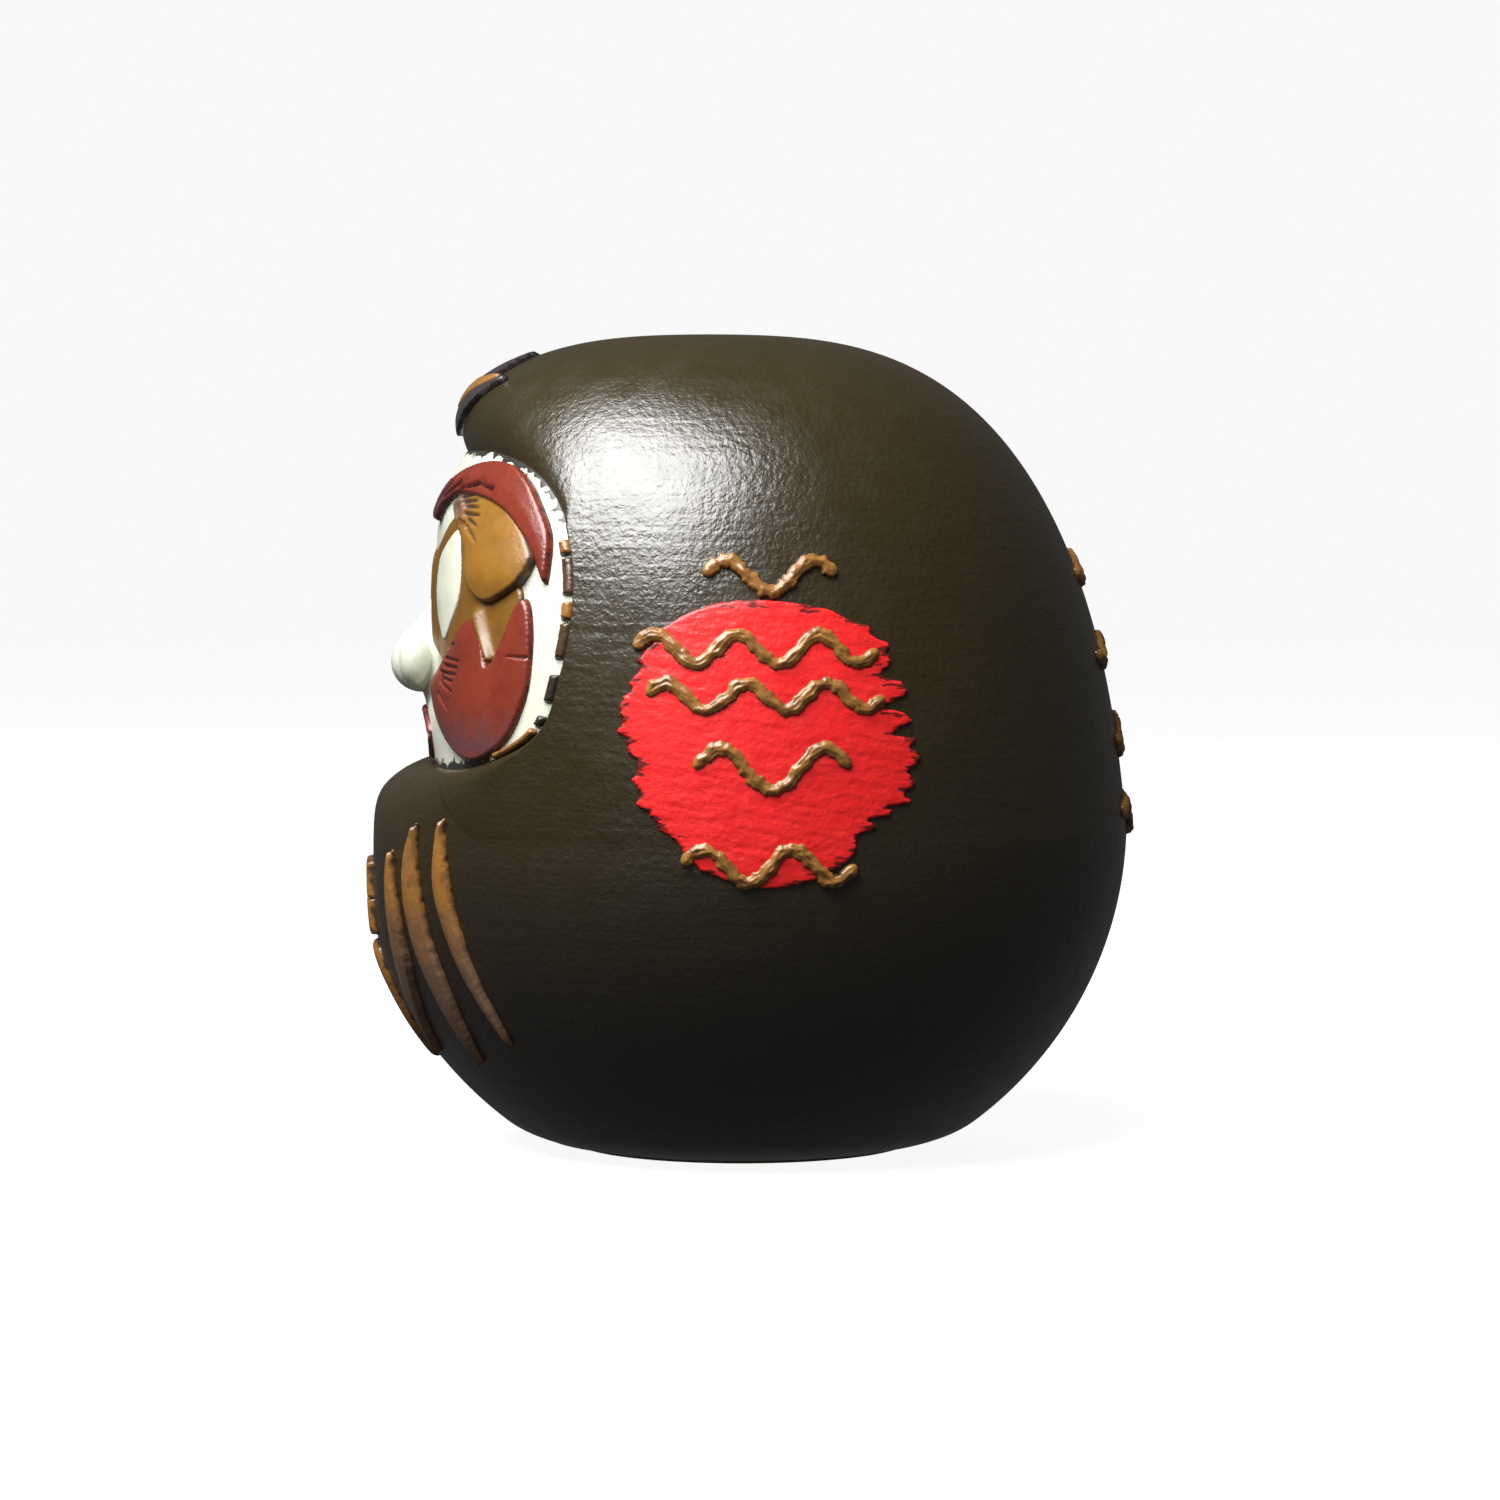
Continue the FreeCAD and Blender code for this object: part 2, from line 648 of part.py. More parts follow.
for obj in doc.Objects:
    if "Invalid" in obj.State or "Error" in obj.State:
        raise RuntimeError(f"{obj.Label} did not recompute: {obj.State}")
for obj in PIECES:
    if obj.Shape.isNull() or not obj.Shape.isValid():
        raise RuntimeError(f"{obj.Label} has no valid shape")

os.makedirs("parts", exist_ok=True)
for obj in PIECES:
    obj.Shape.exportStep(f"parts/{obj.Label}.step")
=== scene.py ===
import math

import bmesh
import bpy
import numpy as np
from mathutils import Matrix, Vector
from mathutils.bvhtree import BVHTree


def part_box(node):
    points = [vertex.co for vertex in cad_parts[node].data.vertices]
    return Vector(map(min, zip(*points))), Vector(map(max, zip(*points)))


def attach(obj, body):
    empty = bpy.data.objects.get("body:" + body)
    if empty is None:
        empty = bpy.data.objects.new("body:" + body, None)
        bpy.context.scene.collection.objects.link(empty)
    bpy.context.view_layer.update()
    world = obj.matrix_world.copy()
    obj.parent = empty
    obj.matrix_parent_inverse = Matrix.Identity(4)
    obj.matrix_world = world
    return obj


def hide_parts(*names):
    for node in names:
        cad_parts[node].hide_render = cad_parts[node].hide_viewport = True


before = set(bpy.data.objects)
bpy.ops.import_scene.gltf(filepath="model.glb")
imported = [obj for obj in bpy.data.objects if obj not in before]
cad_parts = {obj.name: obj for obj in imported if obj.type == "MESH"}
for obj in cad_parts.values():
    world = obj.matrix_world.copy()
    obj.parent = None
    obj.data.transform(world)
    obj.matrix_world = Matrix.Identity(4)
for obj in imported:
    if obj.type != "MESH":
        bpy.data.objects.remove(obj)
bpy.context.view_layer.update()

# A daruma doll. Shapes are worked out in millimetres from the frame's sizes and written in metres.
# The face looks along -Y and the doll's left is +X.

MM = 0.001


def node_box(node):
    """Lowest and highest corner of a CAD node, in millimetres."""
    low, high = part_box(node)
    return np.array(low) / MM, np.array(high) / MM


SHELL_LOW, SHELL_HIGH = node_box("shell_lower")
MASK_LOW, MASK_HIGH = node_box("face_mask")
SUN_LOW, SUN_HIGH = node_box("sun_left")
SIDES = (("left", False), ("right", True))    # the name of a side, and whether its pieces are mirrored

GIRTH = SHELL_HIGH[0]                     # radius of the body at its widest
TOP = node_box("shell_upper")[1][2]
SEAM = SHELL_HIGH[2]
CHEST_FRONT = -SHELL_LOW[1]
MOUTH_HALF = MASK_HIGH[0]                 # half the width of the face opening
MASK_DEPTH = -MASK_LOW[1]
GIRTH_HEIGHT = 0.4 * TOP
BOWL_DEPTH = TOP * 7 / 15
CROWN_HEIGHT = TOP - GIRTH_HEIGHT
CROWN_SHIFT = 5.9                         # how far the crown leans to the front
CHEST_BLEND = 2.5                         # how softly the egg runs into the flat chest
BASE_EDGE = 6.0                           # and into the flat base
WALL = 2.5                                # thickness of the shell
PLATE_THICKNESS = 2.4
HOOD_CLEARANCE = 3.4                      # how much further back the inside of the shell ends under the hood
PATCH_SINK = 0.5                          # how deep a raised piece reaches into what it lies on
OPENING_HEIGHT = 90.0                     # where the two halves of the face opening meet


# ---------------------------------------------------------------- the doll's surfaces

def egg_radius(z, grow=0.0):
    """Radius of the body at a height, grown outwards."""
    bowl = np.clip(1 - ((GIRTH_HEIGHT - z) / (BOWL_DEPTH + grow)) ** 2, 0, 1) ** 0.5
    rise = np.clip((z - GIRTH_HEIGHT) / (CROWN_HEIGHT + grow), 0, 1)
    crown = (1 - rise ** 2.2) ** (1 / 3)
    return (GIRTH + grow) * np.where(z < GIRTH_HEIGHT, bowl, crown)


def egg_centre(z):
    """How far the round at a height leans to the front."""
    return -CROWN_SHIFT * np.clip((z - GIRTH_HEIGHT) / CROWN_HEIGHT, 0, 1) ** 0.8


def soft_min(a, b, blend):
    """The smaller of two values, rounded over where they are near each other."""
    share = np.clip(0.5 + 0.5 * (b - a) / blend, 0, 1)
    return b + (a - b) * share - blend * share * (1 - share)


def smooth_step(value, start, end):
    """Goes smoothly from 0 at the start to 1 at the end."""
    share = np.clip((value - start) / (end - start), 0, 1)
    return share * share * (3 - 2 * share)


def ramp(inside, run):
    """Rises straight from 0 at an outline to 1 at the run."""
    return np.clip(inside / run, 0, 1)


def crisp(inside, radius):
    """Rises from 0 at an outline to 1 at the radius, as a quarter round."""
    return np.sqrt(1 - (1 - ramp(inside, radius)) ** 2)


BROW_HEIGHT = 112.0                       # above it the face leans back under the hood
MOUTH_SWELL = 2.3                         # how far the region of the mouth stands out


def face_depth(x, z):
    """How far the plain face stands in front of the origin, at a place seen from the front."""
    centre = egg_centre(z)
    half_width = egg_radius(z) - 1.6
    depth = MASK_DEPTH - 0.0205 * np.clip(z - BROW_HEIGHT, 0, None) ** 2 + centre
    power = 2.4 + 0.009 * (120 - z)
    side = np.clip(1 - np.clip(np.abs(x) / half_width, 0, 1) ** power, 1e-6, 1) ** (1 / power)
    swell = MOUTH_SWELL * np.exp(-((z - 79) / 6.5) ** 2 - (x / 19) ** 2)
    return -centre + depth * side + swell


def opening(angle, half_width, rise, drop, powers):
    """A point of the face opening seen from the front; its upper and lower halves have their own powers."""
    across, upward, below = powers
    cosine = np.cos(angle)
    sine = np.sin(angle)
    above = sine >= 0
    x = half_width * np.sign(cosine) * np.abs(cosine) ** (2 / np.where(above, across, below))
    reach = np.where(above, rise, drop)
    z = OPENING_HEIGHT + reach * np.sign(sine) * np.abs(sine) ** (2 / np.where(above, upward, below))
    return x, z


def outer_opening(angle):
    """The corner of the opening, on the outside of the body."""
    return opening(angle, MOUTH_HALF + 0.1, 45.5, 20.0, (3.2, 2.0, 4.2))


def inner_opening(angle, grow=0.0):
    """The line where the shell meets the face."""
    return opening(angle, MOUTH_HALF - 0.5 + grow, 38.3 + grow, 18.8 + grow, (5.0, 1.9, 4.0))


def on_egg(x, z, way=-1):
    """Point of the egg at a place seen from the front: on its front or, with way 1, on its back."""
    y = egg_centre(z) + way * np.sqrt(np.clip(egg_radius(z) ** 2 - x ** 2, 0, None))
    return np.stack([x, y, z], axis=-1)


# Each surface below gives points for two coordinates, a and b, in millimetres; b is the height.

def face_surface(a, b):
    """The plain face, seen from the front."""
    return np.stack([a, -face_depth(a, b), b], axis=-1)


def side_surface(a, b):
    """The left side of the body, seen from the side; a is along Y."""
    reach = egg_radius(b) ** 2 - (a - egg_centre(b)) ** 2
    return np.stack([np.sqrt(np.clip(reach, 0, None)), a, b], axis=-1)


def back_surface(a, b):
    """The back of the body, seen from the back; a is along X."""
    return on_egg(a, b, 1)


def turned_surface(a, b):
    """The front of the body by turn and height; a is the way round at the girth, from the front."""
    turn = a / GIRTH
    reach = egg_radius(b)
    y = -soft_min(reach * np.cos(turn) - egg_centre(b), CHEST_FRONT, CHEST_BLEND)
    return np.stack([reach * np.sin(turn), y, b], axis=-1)


# ---------------------------------------------------------------- meshes

def unit(vectors):
    """Vectors brought to length 1."""
    return vectors / np.maximum(np.linalg.norm(vectors, axis=-1, keepdims=True), 1e-9)


def new_object(name, data):
    """An object in the scene."""
    obj = bpy.data.objects.new(name, data)
    bpy.context.scene.collection.objects.link(obj)
    return obj


def make_object(name, points, faces):
    """A closed smooth mesh object from points in millimetres; its faces are made to look outwards."""
    mesh = bpy.data.meshes.new(name)
    mesh.from_pydata([tuple(p) for p in np.asarray(points) * MM], [], faces)
    mesh.validate()
    mesh.polygons.foreach_set("use_smooth", [True] * len(mesh.polygons))
    edit = bmesh.new()
    edit.from_mesh(mesh)
    bmesh.ops.recalc_face_normals(edit, faces=edit.faces)
    edit.to_mesh(mesh)
    edit.free()
    return new_object(name, mesh)


def points_of(obj):
    """The points of a mesh, in millimetres."""
    flat = np.zeros(len(obj.data.vertices) * 3)
    obj.data.vertices.foreach_get("co", flat)
    return flat.reshape(-1, 3) / MM


def store(obj, name, values):
    """A number for each point of a mesh, which a material can read; one value stands for all."""
    layer = obj.data.attributes.new(name, "FLOAT", "POINT")
    layer.data.foreach_set("value", np.full(len(obj.data.vertices), values, dtype=np.float32))


def dress(obj, material, node):
    """Gives a piece its material, hangs it under the doll's root body and hides the CAD node that it stands
    for.
    """
    obj.data.materials.append(material)
    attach(obj, "root")
    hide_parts(node)


# ---------------------------------------------------------------- the shell

LINES = 480                               # grid lines round the face opening
CORNER_REACH = 62                         # about how far the corner of the opening is from EYE_POINT
EYE_POINT = np.array([0.0, -2.0, 72.0])   # the grid is spun about a line through this point
TILT = math.radians(20)
FORWARD = np.array([0.0, -math.cos(TILT), math.sin(TILT)])
SIDEWAYS = np.array([1.0, 0.0, 0.0])
UPWARD = np.cross(SIDEWAYS, FORWARD) * -1


def directions(turn, tilt):
    """Unit vectors at an angle tilt from FORWARD, turned about it."""
    turn = np.asarray(turn)[..., None]
    tilt = np.asarray(tilt)[..., None]
    round_way = np.cos(turn) * SIDEWAYS + np.sin(turn) * UPWARD
    return np.cos(tilt) * FORWARD + np.sin(tilt) * round_way


def cast_egg(way, grow):
    """Where rays from EYE_POINT leave the egg, with its flat base rounded in."""
    near = np.zeros(way.shape[:-1])
    far = np.full(way.shape[:-1], 160.0)
    for _ in range(44):
        middle = (near + far) / 2
        place = EYE_POINT + way * middle[..., None]
        reach = np.hypot(place[..., 0], place[..., 1] - egg_centre(place[..., 2]))
        inside = (reach < egg_radius(place[..., 2], grow)) & (place[..., 2] < TOP + grow)
        near = np.where(inside, middle, near)
        far = np.where(inside, far, middle)
    down = np.where(way[..., 2] < -1e-3, (-grow - EYE_POINT[2]) / np.minimum(way[..., 2], -1e-3), 1e4)
    length = soft_min(near, np.minimum(down, near + 500), BASE_EDGE)
    return EYE_POINT + way * length[..., None]


def angles_of(points):
    """Turn about FORWARD and tilt from it, for points seen from EYE_POINT."""
    way = unit(points - EYE_POINT)
    tilt = np.arccos(np.clip(way @ FORWARD, -1, 1))
    turn = np.unwrap(np.arctan2(way @ UPWARD, way @ SIDEWAYS))
    return turn, tilt

def even_angles(count):
    """Angles that space the points of the opening evenly along its edge."""
    fine = np.linspace(0, 2 * math.pi, 6001)
    x, z = outer_opening(fine)
    run = np.concatenate([[0], np.cumsum(np.hypot(np.diff(x), np.diff(z)))])
    return np.interp((np.arange(count) + 0.5) / count * run[-1], run, fine)


RIM_ANGLES = even_angles(LINES)


def rim_lines():
    """Outer corner of the opening on the egg, and the line where the shell meets the face."""
    x, z = outer_opening(RIM_ANGLES)
    corner = on_egg(x, z)
    x, z = inner_opening(RIM_ANGLES)
    seat = np.stack([x, -face_depth(x, z) + 0.4, z], axis=-1)
    return corner, seat


def bezier(start, first, second, end, share):
    """Points of a cubic curve for every line of the grid."""
    t = share[None, :, None]
    a = start[:, None, :]
    b = first[:, None, :]
    c = second[:, None, :]
    d = end[:, None, :]
    return (1 - t) ** 3 * a + 3 * (1 - t) ** 2 * t * b + 3 * (1 - t) * t ** 2 * c + t ** 3 * d


def roll_sizes(corner):
    """How far the edge of the opening is rounded, inwards and outwards: wide at the hood and the chest."""
    hood = smooth_step(corner[:, 2], 113, 131)
    chest = smooth_step(-np.abs(corner[:, 0]), -59, -30) * (corner[:, 2] < 80)
    outwards = 0.5 + 9.4 * hood + 24 * chest
    inwards = 0.5 + 20 * hood + 20 * chest
    return inwards, outwards


def shell_side(corner, seat, grow, tunnel_steps, roll_steps, far_steps):
    """One side of the shell: from the face, round the edge of the opening, to the back of the doll."""
    turn, tilt = angles_of(corner)
    inwards, outwards = roll_sizes(corner)
    into = seat - corner
    inwards = np.minimum(inwards, np.linalg.norm(into, axis=1) * 0.96)
    start = corner + unit(into) * inwards[:, None]
    tilt_end = tilt + outwards / np.linalg.norm(corner - EYE_POINT, axis=1)
    end = cast_egg(directions(turn, tilt_end), grow)
    along = unit(cast_egg(directions(turn, tilt_end + 0.01), grow) - end)
    first = start + (corner - start) * 0.64
    second = end - along * (np.linalg.norm(end - corner, axis=1) * 0.64)[:, None]
    share = np.linspace(0, 1, tunnel_steps, endpoint=False)
    tunnel = seat[:, None, :] + (start - seat)[:, None, :] * share[None, :, None]
    roll = bezier(start, first, second, end, np.linspace(0, 1, roll_steps, endpoint=False))
    share = (np.linspace(0, 1, far_steps) ** 1.2)[None, :]
    far_tilt = tilt_end[:, None] + (math.pi - tilt_end[:, None]) * share
    far = cast_egg(directions(np.repeat(turn[:, None], far_steps, 1), far_tilt), grow)
    grid = np.concatenate([tunnel, roll, far], axis=1)
    grid[..., 1] = -soft_min(-grid[..., 1], CHEST_FRONT + grow, CHEST_BLEND)
    return grid


def spun_faces(first, steps, meet):
    """Faces between LINES lines of points; at one step the lines meet in the point that follows them all."""
    pole = first + LINES * steps
    faces = []
    for line in range(LINES):
        here = first + line * steps
        there = first + (line + 1) % LINES * steps
        faces.extend([here + s, here + s + 1, there + s + 1, there + s] for s in range(steps - 1))
        faces.append([here + meet, pole, there + meet])
    return faces


def belt_faces(first, steps, other_first, other_steps):
    """Faces of a belt that joins such lines to others, from the points given for the first line of each."""
    line = np.arange(LINES)
    after = (line + 1) % LINES
    near = (first + line * steps, first + after * steps)
    far = (other_first + after * other_steps, other_first + line * other_steps)
    return np.stack(near + far, axis=1).tolist()


def shell_mesh():
    """The whole closed shell, outside and inside, before it is parted at the seam."""
    corner, seat = rim_lines()
    outer = shell_side(corner, seat, 0.0, 5, 26, 170)
    turn, tilt = angles_of(corner)
    inner_corner = cast_egg(directions(turn, tilt + WALL / CORNER_REACH), -WALL)
    inner_seat = seat + unit((seat - [0, 0, OPENING_HEIGHT]) * [1, 0, 1]) * WALL
    inner_seat[:, 1] += HOOD_CLEARANCE * smooth_step(corner[:, 2], 108, 124)
    skin = on_egg(inner_seat[:, 0], inner_seat[:, 2])[:, 1]
    inner_seat[:, 1] = np.maximum(inner_seat[:, 1], skin + WALL * 0.9)
    inner = shell_side(inner_corner, inner_seat, -WALL, 3, 10, 44)
    points = []
    faces = []
    starts = []
    for grid in (outer, inner):
        steps = grid.shape[1] - 1
        starts.extend((len(points), steps))
        faces.extend(spun_faces(len(points), steps, steps - 1))
        points.extend(grid[:, :steps].reshape(-1, 3))
        points.append(grid[:, -1].mean(axis=0))
    faces.extend(belt_faces(*starts))
    return make_object("shell_whole", points, faces)


def part_shell(whole, name, above):
    """The half of the shell above or below the seam, closed at the cut and shaded as if still whole."""
    edit = bmesh.new()
    edit.from_mesh(whole.data)
    found = bmesh.ops.bisect_plane(
        edit,
        geom=edit.verts[:] + edit.edges[:] + edit.faces[:],
        plane_co=(0, 0, SEAM * MM),
        plane_no=(0, 0, 1),
    )
    edit.normal_update()
    cut = [item for item in found["geom_cut"] if isinstance(item, bmesh.types.BMEdge)]
    shading = {tuple(vert.co): vert.normal.copy() for vert in edit.verts}
    line = {vert for edge in cut for vert in edge.verts}
    way = 1 if above else -1
    away = [vert for vert in edit.verts if vert not in line and (vert.co.z - SEAM * MM) * way < 0]
    bmesh.ops.delete(edit, geom=away, context="VERTS")
    border = [edge for edge in cut if edge.is_valid and len(edge.link_faces) == 1]
    filled = bmesh.ops.triangle_fill(edit, edges=border, normal=(0, 0, -way), use_beauty=False)["geom"]
    caps = [item for item in filled if isinstance(item, bmesh.types.BMFace)]
    bmesh.ops.recalc_face_normals(edit, faces=caps)
    for face in caps:
        face.smooth = False
        for side in face.edges:
            side.smooth = False
    mesh = bpy.data.meshes.new(name)
    edit.to_mesh(mesh)
    edit.free()
    obj = new_object(name, mesh)
    normals = []
    for face in mesh.polygons:
        for index in face.vertices:
            kept = shading.get(tuple(mesh.vertices[index].co)) if face.use_smooth else None
            normals.append(face.normal if kept is None else kept)
    mesh.normals_split_custom_set(normals)
    return obj


# ---------------------------------------------------------------- the face plate and nose

# The bridge of the nose at a number of heights: how far it stands out, and half its width.
NOSE_HEIGHTS = [80, 82, 83, 84, 86, 88, 91, 93.6, 95.4, 97, 99.2, 101, 103, 108.5]
NOSE_REACH = [0, 0.2, 0.9, 1.8, 3.4, 5.0, 6.8, 7.2, 5.8, 4.2, 2.4, 1.3, 0.6, 0]
NOSE_WIDTH = [3.4, 3.6, 3.8, 4.0, 4.4, 4.6, 4.4, 4.0, 3.6, 3.4, 3.2, 3.0, 2.9, 2.8]
# Centre and radii of the ball of the nose and of its left wing.
NOSE_BALL = ((0, -59.3, 89.7), (6.4, 5.7, 5.6))
NOSE_WING = ((5.5, -60.6, 90.3), (3.5, 2.95, 4.6))


def eased(z, values):
    """A value read off the nose table at a height, with its corners smoothed."""
    total = 0
    for shift in (-0.8, -0.4, 0, 0.4, 0.8):
        total = total + np.interp(z + shift, NOSE_HEIGHTS, values)
    return total / 5


def bridge_height(a, b, inside):
    """How far the bridge of the nose stands off the face."""
    bridge = eased(b, NOSE_REACH) * np.exp(-(a / eased(b, NOSE_WIDTH)) ** 2)
    return bridge * ramp(inside, 0.5) - 0.03


def ellipsoid(name, centre, radii, rounds=72):
    """A closed ellipsoid with its poles to the left and right."""
    rows = rounds // 2 - 1
    tilt = (np.pi * (np.arange(rows) + 1) / (rows + 1))[:, None]
    turn = 2 * np.pi * np.arange(rounds) / rounds
    rings = np.broadcast_arrays(np.cos(tilt), np.sin(tilt) * np.cos(turn), np.sin(tilt) * np.sin(turn))
    rings = np.stack(rings, axis=-1).reshape(-1, 3)
    points = np.concatenate([[(1, 0, 0)], rings, [(-1, 0, 0)]]) * radii + centre
    last_row = 1 + (rows - 1) * rounds
    faces = []
    for step in range(rounds):
        after = (step + 1) % rounds
        faces.append([0, 1 + step, 1 + after])
        for here in range(1, last_row, rounds):
            faces.append([here + step, here + rounds + step, here + rounds + after, here + after])
        faces.append([last_row + step, len(points) - 1, last_row + after])
    return make_object(name, points, faces)


def united(base, others):
    """One closed piece out of several that overlap."""
    for other in others:
        union = base.modifiers.new(other.name, "BOOLEAN")
        union.operation = "UNION"
        union.solver = "EXACT"
        union.object = other
    graph = bpy.context.evaluated_depsgraph_get()
    mesh = bpy.data.meshes.new_from_object(base.evaluated_get(graph))
    base.modifiers.clear()
    base.data = mesh
    for other in others:
        bpy.data.objects.remove(other)
    mesh.set_sharp_from_angle(angle=math.radians(50))
    return base


def face_plate():
    """The thin closed plate of the face, out to where the shell holds it."""
    rings = 70
    middle = 92.0
    x, z = inner_opening(RIM_ANGLES, 0.25)
    share = (np.arange(rings) + 1) / rings
    front = face_surface(x[:, None] * share, middle + (z[:, None] - middle) * share)
    points = []
    faces = []
    for back in (0.0, PLATE_THICKNESS):
        faces.extend(spun_faces(len(points), rings, 0))
        points.extend((front + [0, back, 0]).reshape(-1, 3))
        points.append(face_surface(0.0, middle) + [0, back, 0])
    rim = rings - 1
    faces.extend(belt_faces(rim, rings, LINES * rings + 1 + rim, rings))
    return make_object("face", points, faces)


# ---------------------------------------------------------------- raised patches

def smooth_outline(corners, per_corner=14):
    """A dense closed curve through given corners."""
    corners = np.asarray(corners, dtype=float)
    before = np.roll(corners, 1, axis=0)
    after = np.roll(corners, -1, axis=0)
    later = np.roll(corners, -2, axis=0)
    t = (np.arange(per_corner) / per_corner)[None, :, None]
    p0, p1, p2, p3 = (p[:, None, :] for p in (before, corners, after, later))
    curve = 0.5 * (
        2 * p1
        + (p2 - p0) * t
        + (2 * p0 - 5 * p1 + 4 * p2 - p3) * t ** 2
        + (3 * p1 - p0 - 3 * p2 + p3) * t ** 3
    )
    return curve.reshape(-1, 2)


def both_halves(half):
    """A closed outline from its right half, which starts and ends on the middle line."""
    return smooth_outline(half + [(-x, z) for x, z in half[-2:0:-1]])


def distance_to(outline, places):
    """Distance inside (positive) or outside a closed outline, and the nearest point of it."""
    starts = outline
    ends = np.roll(outline, -1, axis=0)
    spans = ends - starts
    length2 = np.maximum((spans ** 2).sum(axis=1), 1e-12)
    best = np.full(len(places), 1e9)
    nearest = np.zeros_like(places)
    inside = np.zeros(len(places), dtype=bool)
    for start, end, span, size2 in zip(starts, ends, spans, length2):
        offset = places - start
        share = np.clip((offset @ span) / size2, 0, 1)
        foot = start + share[:, None] * span
        gap = ((places - foot) ** 2).sum(axis=1)
        closer = gap < best
        best = np.where(closer, gap, best)
        nearest = np.where(closer[:, None], foot, nearest)
        crosses = (start[1] > places[:, 1]) != (end[1] > places[:, 1])
        rise = end[1] - start[1]
        if abs(rise) > 1e-12:
            at = start[0] + (places[:, 1] - start[1]) * span[0] / rise
            inside ^= crosses & (places[:, 0] < at)
    return np.where(inside, 1, -1) * np.sqrt(best), nearest


def drop_pinches(cells):
    """Takes away cells that touch another only at a corner."""
    changed = True
    while changed:
        a = cells[:-1, :-1]
        b = cells[1:, :-1]
        c = cells[:-1, 1:]
        d = cells[1:, 1:]
        falling = a & d & ~b & ~c
        rising = b & c & ~a & ~d
        changed = bool(falling.any() or rising.any())
        cells[:-1, :-1] &= ~falling
        cells[1:, :-1] &= ~rising
    return cells


def line_mark(a, b, marks):
    """Strength, 0 to 1, of short drawn lines: (start, end, width) each."""
    total = np.zeros_like(a)
    for (a0, b0), (a1, b1), width in marks:
        along = np.array([a1 - a0, b1 - b0])
        share = np.clip(((a - a0) * along[0] + (b - b0) * along[1]) / (along @ along), 0, 1)
        gap = np.hypot(a - a0 - share * along[0], b - b0 - share * along[1])
        taper = 1 - 0.7 * share
        total = np.maximum(total, np.exp(-(gap / (width * taper)) ** 2))
    return total


def outward_normal(surface, a, b, base):
    """The normal of a surface at its points base, looking away from the middle of the doll."""
    step = 0.25
    across = surface(a + step, b) - surface(a - step, b)
    upward = surface(a, b + step) - surface(a, b - step)
    normal = unit(np.cross(across, upward))
    away = (normal * (base - EYE_POINT)).sum(axis=-1, keepdims=True)
    return np.where(away < 0, -normal, normal)


def patch_cells(outline, spacing):
    """A square grid over an outline: its places, the cells inside it and how many of them use each place.

    Places on the border are moved onto the outline, and those next to them are spread evenly. The last
    value is how far each place lies inside the outline.
    """
    low = outline.min(axis=0) - spacing
    high = outline.max(axis=0) + spacing
    count = np.ceil((high - low) / spacing).astype(int) + 1
    columns = [low[k] + np.arange(count[k]) * spacing for k in (0, 1)]
    a, b = np.meshgrid(*columns, indexing="ij")
    gap, nearest = distance_to(outline, np.stack([a.ravel(), b.ravel()], axis=1))
    gap = gap.reshape(a.shape)
    near = nearest.reshape(a.shape + (2,))
    keep = gap > -0.4 * spacing
    cells = drop_pinches(keep[:-1, :-1] & keep[1:, :-1] & keep[:-1, 1:] & keep[1:, 1:])
    used = np.zeros(a.shape, dtype=int)
    for i, j in ((0, 0), (1, 0), (0, 1), (1, 1)):
        used[i:i + cells.shape[0], j:j + cells.shape[1]] += cells
    border = (used > 0) & (used < 4)
    a = np.where(border, near[..., 0], a)
    b = np.where(border, near[..., 1], b)
    inside = np.where(border, 0, np.maximum(gap, 0.02))
    easing = (used == 4) & (gap < 2.4 * spacing)
    for _ in range(6):
        for grid in (a, b):
            even = sum(np.roll(grid, way, axis) for axis in (0, 1) for way in (1, -1)) / 4
            grid[easing] = even[easing]
    eased_gap, _ = distance_to(outline, np.stack([a[easing], b[easing]], axis=1))
    inside[easing] = np.maximum(eased_gap, 0.02)
    return a, b, cells, used, inside


def slab_faces(cells, used):
    """Faces of a slab: its top, its bottom, whose points follow those of the top, and its sides."""
    total = int((used > 0).sum())
    index = -np.ones(used.shape, dtype=int)
    index[used > 0] = np.arange(total)
    padded = np.pad(cells, 1)
    faces = []
    for i, j in zip(*np.nonzero(cells)):
        quad = [index[i, j], index[i + 1, j], index[i + 1, j + 1], index[i, j + 1]]
        faces.append(quad)
        faces.append([q + total for q in reversed(quad)])
        beside = (padded[i + 1, j], padded[i + 2, j + 1], padded[i + 1, j + 2], padded[i, j + 1])
        for one, covered in enumerate(beside):
            if not covered:
                two = (one + 1) % 4
                faces.append([quad[two], quad[one], quad[one] + total, quad[two] + total])
    return faces


def patch(name, outline, spacing, surface, height, marks=(), mirror=False):
    """A closed raised patch that lies on a surface inside an outline.

    surface(a, b) gives points; height(a, b, inside) gives how far the top stands off it.
    """
    a, b, cells, used, inside = patch_cells(outline, spacing)
    base = surface(a, b)
    normal = outward_normal(surface, a, b, base)
    top = base + normal * height(a, b, inside)[..., None]
    bottom = base - normal * PATCH_SINK
    here = used > 0
    points = np.concatenate([top[here], bottom[here]])
    if mirror:
        points = points * [-1, 1, 1]
    obj = make_object(name, points, slab_faces(cells, used))
    store(obj, "edge", np.concatenate([inside[here], np.zeros(here.sum())]))
    store(obj, "mark", np.concatenate([line_mark(a, b, marks)[here], np.zeros(here.sum())]))
    return obj


def rounded(height, edge):
    """A height that rises round from the outline and stays level."""
    def shape(a, b, inside):
        return height * crisp(inside, edge) - 0.05
    return shape


